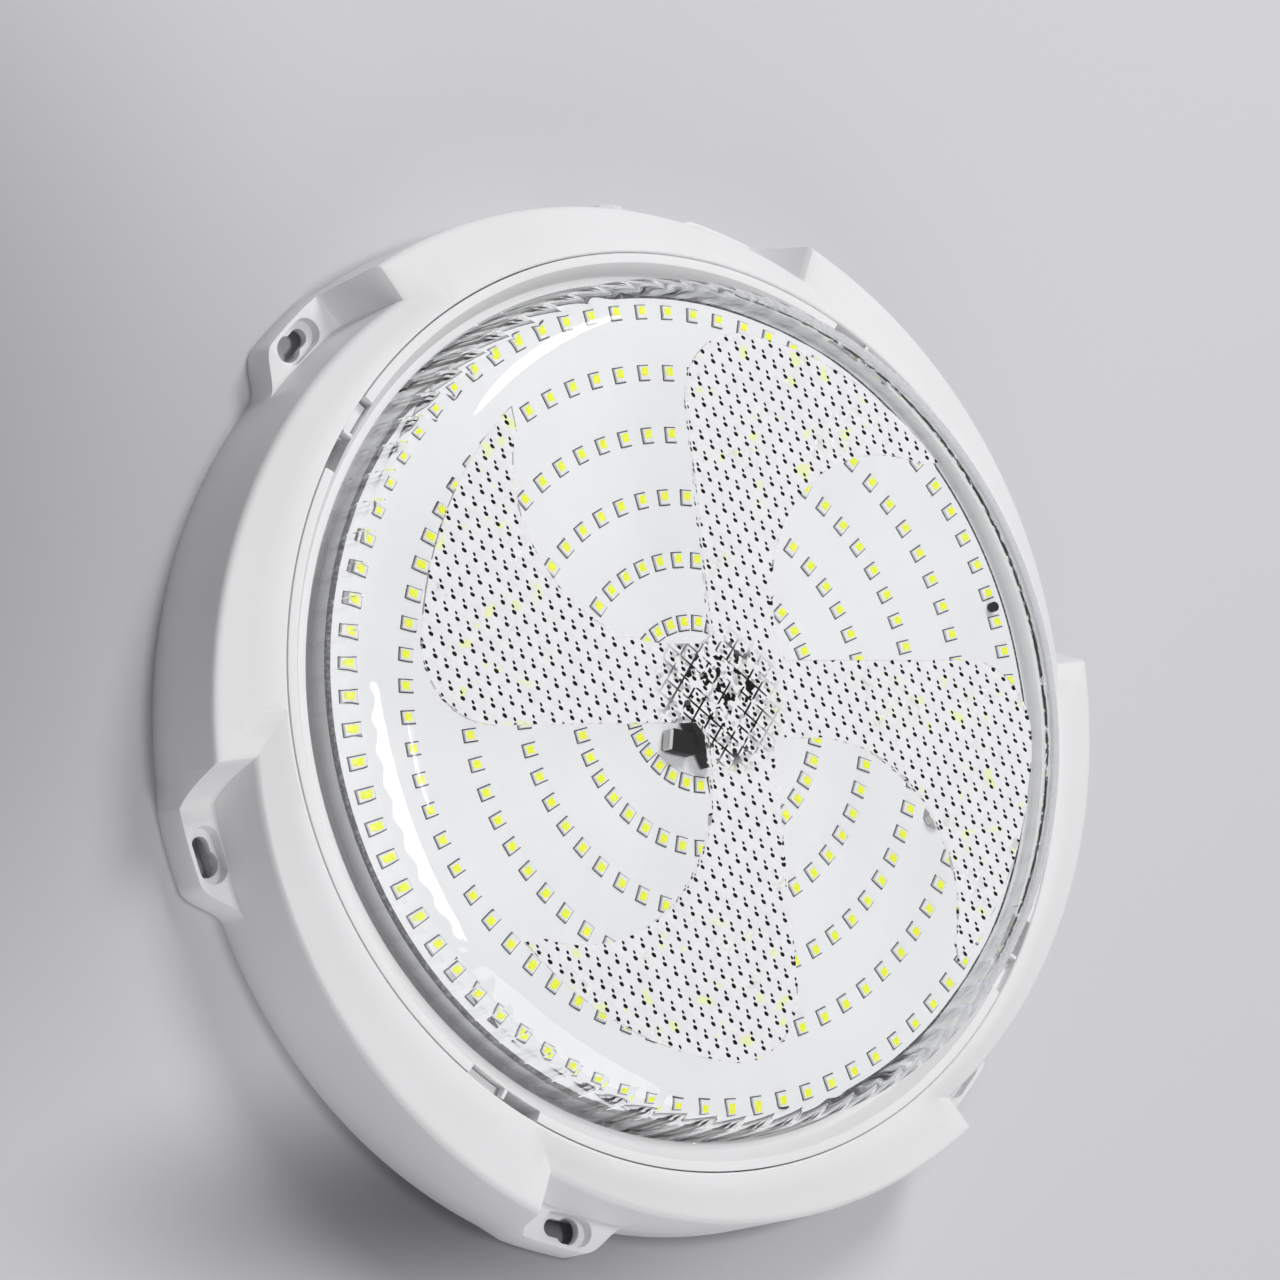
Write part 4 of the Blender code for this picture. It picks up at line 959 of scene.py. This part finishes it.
PAINTED_LED_YELLOW = (0.84, 0.90, 0.30, 1.0)
LINE_EDGE = (0.43, 0.012)
LINE_PATCHES = (240.0, 2.0, 0.46, 0.03)
SHARD_SCALE = 820.0
SHARD_EDGE = (0.88, 0.01)
GREY_EDGE = (0.72, 0.02)
GREY_SHARE = 0.6
CLEAR_PATCHES = (110.0, 2.0, 0.64, 0.05)
CLEAR_SHARE = 0.6
HUB_PLACE = (-0.0066, -0.0020, 0.0)
HUB_EDGE = (0.0158, 0.0045)
HUB_WAVE = (160.0, 2.0)
HUB_UNEVEN = 0.006


def shoulder(centre_r, centre_z, radius):
    angles = [pi / 2.0 * i / SHOULDER_STEPS for i in range(SHOULDER_STEPS + 1)]
    return [(centre_r + radius * sin(a), centre_z + radius * cos(a)) for a in angles]


def crown(edge_r, low, rise):
    """Points over the low dome from the axis out to its edge."""
    radii = [edge_r * i / CROWN_STEPS for i in range(CROWN_STEPS)]
    return [(r, low + rise * (1.0 - (r / edge_r) ** 2)) for r in radii]


def lens_profile():
    centre_r = LENS_OUT_R - LENS_DRAFT - LENS_SHOULDER
    centre_z = LENS_EDGE_Z - LENS_SHOULDER
    outer = crown(centre_r, LENS_EDGE_Z, LENS_CROWN) + shoulder(centre_r, centre_z, LENS_SHOULDER)
    inner = crown(centre_r, LENS_EDGE_Z - LENS_WALL, LENS_CROWN)
    inner += shoulder(centre_r, centre_z, LENS_SHOULDER - LENS_WALL)
    inner.reverse()
    flange = [
        (LENS_OUT_R, LENS_FLANGE_Z),
        (LENS_FLANGE_R, LENS_FLANGE_Z),
        (LENS_FLANGE_R, LENS_FOOT_Z),
        (LENS_OUT_R - LENS_WALL, LENS_FOOT_Z),
    ]
    return outer + flange + inner


def arc(x, y, radius, start, end, steps):
    """Points of an arc round a place between two angles."""
    angles = [blend(start, end, i / steps) for i in range(steps + 1)]
    return [(x + radius * cos(a), y + radius * sin(a)) for a in angles]


def blade_outline():
    """A quarter of the pinwheel: straight edge's round corner, tip, hollow edge and round middle."""
    corner_x = BLADE_CORNER_R - BLADE_OFFSET
    corner_y = sqrt((BLADE_TIP_R - BLADE_CORNER_R) ** 2 - corner_x ** 2)
    corner_end = atan2(corner_y, corner_x)
    points = arc(corner_x, corner_y, BLADE_CORNER_R, pi, corner_end, BLADE_ARC_STEPS // 2)
    points += arc(0.0, 0.0, BLADE_TIP_R, corner_end, BLADE_TIP_ANGLE, BLADE_ARC_STEPS)[1:]
    heel = polar(BLADE_TIP_R - BLADE_TIP_CUT, BLADE_HEEL_ANGLE)
    across = heel.x - BLADE_ROOT
    up = heel.y - BLADE_HOLLOW_UP
    hollow_r = (across ** 2 + up ** 2) / (2.0 * across)
    hollow_x = BLADE_ROOT + hollow_r
    points += arc(hollow_x, BLADE_HOLLOW_UP, hollow_r, atan2(up, heel.x - hollow_x), pi, BLADE_ARC_STEPS)
    hub_start = acos(BLADE_ROOT / BLADE_HUB_R)
    hub_end = asin(BLADE_OFFSET / BLADE_HUB_R)
    return points + arc(0.0, 0.0, BLADE_HUB_R, hub_start, hub_end, BLADE_HUB_STEPS)


def pinwheel_outline():
    outline = []
    for i in range(BLADE_COUNT):
        turn = -2.0 * pi * i / BLADE_COUNT
        across, along = cos(turn), sin(turn)
        outline += [(x * across - y * along, x * along + y * across) for x, y in blade_outline()]
    return outline


def prism_field(bm):
    """A slab with square pyramids on its underside."""
    half = ceil(BLADE_TIP_R / PRISM_PITCH) + 1
    turn = Matrix.Rotation(PRISM_TURN, 3, "Z")
    valley = PRISM_TIP_Z + PRISM_HIGH
    corners = {}
    uneven = random.Random(PRISM_SEED)

    def corner(i, j, z):
        if (i, j, z) not in corners:
            flat = turn @ Vector((i * PRISM_PITCH, j * PRISM_PITCH, 0.0))
            corners[(i, j, z)] = bm.verts.new((flat.x, flat.y, z))
        return corners[(i, j, z)]

    for i in range(-half, half):
        for j in range(-half, half):
            foot = [corner(a, b, valley) for a, b in ((i, j), (i + 1, j), (i + 1, j + 1), (i, j + 1))]
            middle = turn @ Vector(((i + 0.5) * PRISM_PITCH, (j + 0.5) * PRISM_PITCH, 0.0))
            tip = bm.verts.new((middle.x, middle.y, PRISM_TIP_Z + uneven.random() * PRISM_UNEVEN))
            for a, b in zip(foot, foot[1:] + foot[:1]):
                bm.faces.new((a, b, tip))
    rim = [(i, -half) for i in range(-half, half)] + [(half, j) for j in range(-half, half)]
    rim += [(-i, half) for i in range(-half, half)] + [(-half, -j) for j in range(-half, half)]
    low = [corner(i, j, valley) for i, j in rim]
    high = [corner(i, j, PRISM_TOP_Z) for i, j in rim]
    for k in range(len(rim)):
        m = (k + 1) % len(rim)
        bm.faces.new((low[k], low[m], high[m], high[k]))
    bm.faces.new(high)


def with_dull_layer(made, look, share, colour, roughness):
    """Mixes a dull second shader over a look's main one, where share is 1."""
    values = {"Base Color": colour, "Roughness": roughness, "Specular IOR Level": DULL_LAYER_SHINE}
    dull_layer = look.node("ShaderNodeBsdfPrincipled", {}, values)
    main = Shade(made.node_tree, made.node_tree.nodes["Principled BSDF"].outputs[0])
    both = look.node("ShaderNodeMixShader", {}, {0: share, 1: main, 2: dull_layer})
    made.node_tree.links.new(both.socket, made.node_tree.nodes["Material Output"].inputs["Surface"])


def clear_plastic():
    """Clear moulded plastic, with shallow flutes down its side and a painted dark crackle along one side
    of the shoulder, standing for the dark that the cover refracts there.
    """
    made, look = new_look("clear_plastic")
    smear = look.noise(*SMEARS)
    place = look.place()
    x, y, z = (place.axis(i) for i in range(3))
    flutes = look.math("ABSOLUTE", look.math("SINE", look.math("ARCTAN2", y, x) * (FLUTES / 2.0)))
    side = 1.0 - z.edge(FLUTE_TOP_Z, FLUTE_FADE)
    set_look(
        made,
        Base_Color=CLEAR,
        Roughness=0.01 + smear * 0.02,
        Normal=(flutes * side).bump(1.0, FLUTE_DEEP),
    )
    set_look(made, IOR=CLEAR_IOR, Transmission_Weight=1.0)
    # The crackle is painted: a dark broken band on one side, standing for the dark the cover refracts
    # there.
    level = z - CRACKLE_Z + look.noise(*CRACKLE_WAVE) * CRACKLE_UNEVEN - CRACKLE_UNEVEN / 2.0
    band = 1.0 - look.math("ABSOLUTE", level).edge(*CRACKLE_EDGE)
    part = (x * CRACKLE_WAY[0] + y * CRACKLE_WAY[1]).edge(*CRACKLE_START)
    broken = look.patches(*CRACKLE_BREAKS)
    with_dull_layer(made, look, band * part * broken, PAINTED_CRACKLE_BLACK, 0.5)
    return made


def prism_plastic():
    """The cover's plastic on the prisms, frosted white but for two painted black glints in every prism,
    painted reflections of the dark that their steep facets see.

    The middle is a painted thicket of black lines, shards and grey, standing for the dark that the packed
    prisms refract there. Here and there the plastic is clear, and a few prisms further out take a painted
    yellow, the LEDs behind them seen through them.
    """
    made, look = new_look("prism_plastic")
    place = look.place()
    spin = {"Scale": [1.0 / PRISM_PITCH] * 3, "Rotation": (0.0, 0.0, -PRISM_TURN)}
    grid = look.node("ShaderNodeMapping", {}, {"Vector": place, **spin})
    cell = look.vectors("FRACTION", grid)
    centred = look.vectors("SUBTRACT", cell, (0.5, 0.5, 0.0))
    wobble = look.noise(*GLINT_WOBBLE)
    upright = look.node("ShaderNodeMapping", {}, {"Vector": centred, "Rotation": (0.0, 0.0, PRISM_TURN)})
    x, y = upright.axis(0), upright.axis(1)
    # Two painted black glints in each prism: painted reflections of the dark its steep facets see.
    low = spot(x + y * GLINT_SLANT, y, wobble, GLINT_LOW, GLINT_LOW_SIZE)
    high = spot(x + y * GLINT_SLANT, y, wobble, GLINT_HIGH, GLINT_HIGH_SIZE)
    painted_glint = 1.0 - look.math("MINIMUM", low, high).edge(*GLINT_EDGE)
    # Near the middle a painted thicket of black lines, shards and grey stands for the dark the packed
    # prisms refract.
    radius = look.vectors("MULTIPLY", place, (1.0, 1.0, 0.0)).distance(HUB_PLACE)
    uneven = look.noise(*HUB_WAVE) * HUB_UNEVEN
    middle = 1.0 - (radius + uneven - HUB_UNEVEN / 2.0).edge(*HUB_EDGE)
    sides = [look.math("ABSOLUTE", centred.axis(i)) for i in (0, 1)]
    line = look.math("MAXIMUM", *sides).edge(*LINE_EDGE) * look.patches(*LINE_PATCHES)
    shard = look.node("ShaderNodeTexVoronoi", {}, {"Vector": place, "Scale": SHARD_SCALE}, output=1)
    pick = look.node("ShaderNodeSeparateColor", {}, {0: shard})
    tone = look.node("ShaderNodeSeparateColor", {}, {0: shard}, output=1)
    painted_thicket = look.math("MAXIMUM", line, pick.edge(*SHARD_EDGE)) * middle
    dark = look.math("MAXIMUM", painted_glint, painted_thicket)
    grey = tone.edge(*GREY_EDGE) * middle * GREY_SHARE
    frost = look.patches(*FROST_TINT).mix(FROST_WHITE, FROST_PINK)
    # A painted yellow on a few prisms further out: the LEDs seen through them.
    lit = look.patches(*LIT_PATCHES) * radius.edge(*LIT_START) * LIT_SHARE
    pale = lit.mix(grey.mix(frost, PAINTED_THICKET_GREY), PAINTED_LED_YELLOW)
    clear_patch = look.patches(*CLEAR_PATCHES)
    set_look(made, Base_Color=PRISM_PALE, Roughness=0.18 + wobble * 0.1)
    set_look(made, IOR=CLEAR_IOR, Transmission_Weight=1.0)
    share = look.math("MAXIMUM", 1.0 - clear_patch * CLEAR_SHARE, dark)
    with_dull_layer(made, look, share, dark.mix(pale, PAINTED_GLINT_BLACK), 0.6)
    return made


def spot(x, y, wobble, middle, size):
    """How far a place is from the middle of a spot, as a share of the spot's size."""
    across = (x - middle[0]) / size[0]
    along = (y - middle[1]) / size[1]
    return across * across + along * along + (wobble - 0.5) * GLINT_UNEVEN


def make_lens():
    field = bmesh.new()
    prism_field(field)
    blades = add_piece("blades", field, WHITE_LOOK)
    stamp = bmesh.new()
    prism(stamp, pinwheel_outline(), PRISM_TIP_Z - CUT_OVER, PRISM_TOP_Z + CUT_OVER)
    cut(blades, stamp, "INTERSECT")
    shell = bmesh.new()
    revolve(shell, lens_profile(), LENS_SEGMENTS)
    lens = add_piece("clear_cover", shell, clear_plastic())
    relief = bmesh.new()
    relief.from_mesh(blades.data)
    bpy.data.objects.remove(blades, do_unlink=True)
    cut(lens, relief, "UNION")
    lens.data.materials.clear()
    lens.data.materials.append(bpy.data.materials["clear_plastic"])
    lens.data.materials.append(prism_plastic())
    for face in lens.data.polygons:
        at_tips = PRISM_TIP_Z - PRISM_HIGH < face.center.z < PRISM_TIP_Z + 2.0 * PRISM_HIGH
        on_blade = face.normal.z < 0.0 and face.center.xy.length < BLADE_TIP_R
        face.material_index = 1 if at_tips and on_blade else 0
    lens.data.set_sharp_from_angle(angle=PRISM_SHARP)
    lens.visible_shadow = False
    lens.visible_diffuse = False
    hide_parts("lens")
    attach(lens, "cover")


make_lens()

# The cover ring is white plastic, pressed down on the cover's flange. Its rim has four pairs of windows:
# one shows the housing's lug, and the empty one beside it lets the lug in when the ring is turned.

RING_IN_R = 0.1063
RING_SEAT_R = 0.1095
RING_R = 0.1131
RING_SEAT_Z = 0.0272
RING_LIP_Z = 0.0288
RING_RIDGE_Z = 0.0328
RING_RIDGE_WIDE = 0.0023
RING_STEP_WIDE = 0.0019
RING_STEP_HIGH = 0.0008
RING_SLOPE_WIDE = 0.0020
RING_SEGMENTS = 240
RING_BEVEL = 0.00025
LEDGE_Z = 0.0270
BRIDGE_Z = 0.0302


def ring_profile():
    ridge_in = RING_R - RING_RIDGE_WIDE
    return [
        (RING_SEAT_R, LENS_FOOT_Z),
        (RING_R, LENS_FOOT_Z),
        (RING_R, RING_RIDGE_Z),
        (ridge_in, RING_RIDGE_Z),
        (ridge_in - RING_SLOPE_WIDE, RING_LIP_Z + RING_STEP_HIGH),
        (RING_IN_R + RING_STEP_WIDE, RING_LIP_Z),
        (RING_IN_R, RING_LIP_Z),
        (RING_IN_R, RING_SEAT_Z),
        (RING_SEAT_R, RING_SEAT_Z),
    ]


def make_ring():
    bm = bmesh.new()
    revolve(bm, ring_profile(), RING_SEGMENTS)
    ring = add_piece("cover_ring", bm, WHITE_LOOK)
    ways = bmesh.new()
    windows = bmesh.new()
    entries = bmesh.new()
    outer = RING_R + CUT_OVER
    roof = RING_RIDGE_Z + CUT_OVER
    lap = CUT_OVER / 2.0
    for i in range(LOCK_COUNT):
        lock = LOCK_START + 2.0 * pi * i / LOCK_COUNT
        lock_end = lock + LOCK_WINDOW
        entry = lock_end + LOCK_RIB
        entry_end = entry + LOCK_WINDOW
        ring_block(ways, LOCK_R, outer, lock, entry_end, LEDGE_Z, BRIDGE_Z)
        ring_block(windows, LOCK_R, outer, lock, lock_end, BRIDGE_Z - lap, roof)
        ring_block(windows, LOCK_R, outer, entry, entry_end, BRIDGE_Z - lap, roof)
        ring_block(entries, LOCK_R, outer, entry, entry_end, LENS_FOOT_Z - CUT_OVER, LEDGE_Z + lap)
    for cutter in (ways, windows, entries):
        cut(ring, cutter)
    soften(ring, RING_BEVEL)
    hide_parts("lens_ring")
    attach(ring, "cover")


make_ring()

# The back is closed by a white plastic plate, screwed to six bosses. The cells and the controller that
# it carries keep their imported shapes.

STEEL_BRIGHT = (0.56, 0.55, 0.53, 1.0)
STEEL_DULL = (0.40, 0.40, 0.40, 1.0)
STEEL_FINISH = (300.0, 0.25)
WRAP_BLUE = (0.020, 0.090, 0.300, 1.0)
WRAP_PALE = (0.030, 0.120, 0.360, 1.0)
WRAP_FINISH = (80.0, 0.25)
LAMINATE_GREEN = (0.010, 0.085, 0.030, 1.0)
LAMINATE_TRACK = (0.020, 0.130, 0.050, 1.0)
LAMINATE_FINISH = (200.0, 0.35)
COPPER_BRIGHT = (0.55, 0.22, 0.09, 1.0)
COPPER_DULL = (0.38, 0.14, 0.06, 1.0)
COPPER_FINISH = (400.0, 0.3)
LEAD_RED = (0.42, 0.015, 0.012, 1.0)
LEAD_PALE = (0.50, 0.030, 0.022, 1.0)
LEAD_FINISH = (150.0, 0.4)
BACK_SCREW_COUNT = 6
CELL_COUNT = 4


def numbered(name, count):
    return ["%s_%d" % (name, i) for i in range(1, count + 1)]


dress(WHITE_LOOK, "back_cover", "battery_plug", "board_plug", "panel_plug")
screws = numbered("back_screw", BACK_SCREW_COUNT) + numbered("board_screw", SCREW_COUNT)
dress(mottled("zinc_steel", STEEL_BRIGHT, STEEL_DULL, STEEL_FINISH, Metallic=1.0), *screws)
cells = numbered("battery_cell", CELL_COUNT)
dress(mottled("cell_wrap", WRAP_BLUE, WRAP_PALE, WRAP_FINISH), *cells)
laminate = mottled("green_laminate", LAMINATE_GREEN, LAMINATE_TRACK, LAMINATE_FINISH)
dress(laminate, "controller_board")
winding = mottled("copper_winding", COPPER_BRIGHT, COPPER_DULL, COPPER_FINISH, Metallic=1.0)
dress(winding, "controller_coil")
dress(mottled("red_lead", LEAD_RED, LEAD_PALE, LEAD_FINISH), "battery_lead", "board_lead")

# The studio is a pale grey floor that also makes the background. Painted shade darkens it to the left of
# the light, and a painted shadow lies along the light's edge on the -Y side. A key lamp stands over the
# far side, a small one on top and a wide one low in front. A long one shows only in reflections, as the
# cover's white streak, and the sky is even.

FLOOR_SIZE = 6.0
FLOOR_GREY = (0.59, 0.59, 0.61, 1.0)
FLOOR_PAINTED_SHADE = (0.34, 0.34, 0.36, 1.0)
FLOOR_PAINTED_SHADOW = (0.145, 0.145, 0.155, 1.0)
PAINTED_SHADE_SPOT = (-0.25, 0.06, 0.0)
PAINTED_SHADE_EDGE = (0.136, 0.093)
PAINTED_SHADOW_SPOT = (-0.0170, -0.1120, 0.0)
PAINTED_SHADOW_SCALE = (0.30, 1.0, 0.0)
PAINTED_SHADOW_EDGE = (0.022, 0.020)
FLOOR_GRAIN = (900.0, 2.0)
FLOOR_DEEP = 0.0002
KEY_PLACE = Vector((0.55, 1.25, 1.45))
KEY_SIZE = (0.7, 0.7)
KEY_POWER = 20.2
TOP_PLACE = Vector((0.05, 0.05, 1.70))
TOP_SIZE = (0.22, 0.22)
TOP_POWER = 9.6
FILL_PLACE = Vector((-0.3, -1.7, 0.7))
FILL_SIZE = (1.5, 1.5)
FILL_POWER = 11.8
STREAK_PLACE = Vector((-1.50, -0.52, 1.16))
STREAK_SIZE = (1.9, 0.85)
STREAK_POWER = 20.0
SKY = (0.23, 0.23, 0.235, 1.0)
CAMERA_PLACE = Vector((-0.61584, -0.13658, 0.88981))
CAMERA_RIGHT = Vector((0.82252, -0.09973, 0.55992))
CAMERA_UP = Vector((0.0, 0.98450, 0.17536))
CAMERA_LENS = 122.86
CAMERA_SENSOR = 36.0
CAMERA_NEAR = 0.05
CAMERA_FAR = 20.0


def make_floor():
    made, look = new_look("studio_floor")
    # The floor's colour holds a painted shade to the left of the light and a painted shadow along its -Y
    # edge.
    far = look.place().distance(PAINTED_SHADE_SPOT)
    low = look.vectors("MULTIPLY", look.place(), PAINTED_SHADOW_SCALE).distance(PAINTED_SHADOW_SPOT)
    grain = look.noise(*FLOOR_GRAIN)
    plain = far.edge(*PAINTED_SHADE_EDGE).mix(FLOOR_PAINTED_SHADE, FLOOR_GREY)
    set_look(
        made,
        Base_Color=low.edge(*PAINTED_SHADOW_EDGE).mix(FLOOR_PAINTED_SHADOW, plain),
        Roughness=0.85 + grain * 0.1,
        Normal=grain.bump(0.02, FLOOR_DEEP),
    )
    bm = bmesh.new()
    bmesh.ops.create_grid(bm, x_segments=1, y_segments=1, size=FLOOR_SIZE / 2.0)
    floor_piece = add_piece("studio_floor", bm, made)


def make_lamp(name, place, size, power):
    lamp = bpy.data.lights.new(name, "AREA")
    lamp.shape = "ELLIPSE"
    lamp.size, lamp.size_y = size
    lamp.energy = power
    made = bpy.data.objects.new(name, lamp)
    made.location = place
    made.rotation_mode = "QUATERNION"
    made.rotation_quaternion = (-place).to_track_quat("-Z", "Y")
    bpy.context.scene.collection.objects.link(made)
    return made


def make_sky():
    world = bpy.data.worlds.new("studio_sky")
    world.use_nodes = True
    world.node_tree.nodes["Background"].inputs["Color"].default_value = SKY
    bpy.context.scene.world = world


def make_camera():
    data = bpy.data.cameras.new("camera")
    data.sensor_width = CAMERA_SENSOR
    data.lens = CAMERA_LENS
    data.clip_start = CAMERA_NEAR
    data.clip_end = CAMERA_FAR
    made = bpy.data.objects.new("camera", data)
    back = CAMERA_RIGHT.cross(CAMERA_UP)
    axes = Matrix((CAMERA_RIGHT, CAMERA_UP, back)).transposed().to_4x4()
    made.matrix_world = Matrix.Translation(CAMERA_PLACE) @ axes
    bpy.context.scene.collection.objects.link(made)
    bpy.context.scene.camera = made


make_floor()
make_lamp("key_lamp", KEY_PLACE, KEY_SIZE, KEY_POWER).visible_glossy = False
make_lamp("top_lamp", TOP_PLACE, TOP_SIZE, TOP_POWER).visible_glossy = False
make_lamp("fill_lamp", FILL_PLACE, FILL_SIZE, FILL_POWER).visible_glossy = False
make_lamp("streak_lamp", STREAK_PLACE, STREAK_SIZE, STREAK_POWER).visible_diffuse = False
make_sky()
make_camera()
bpy.context.scene.view_settings.view_transform = "Standard"
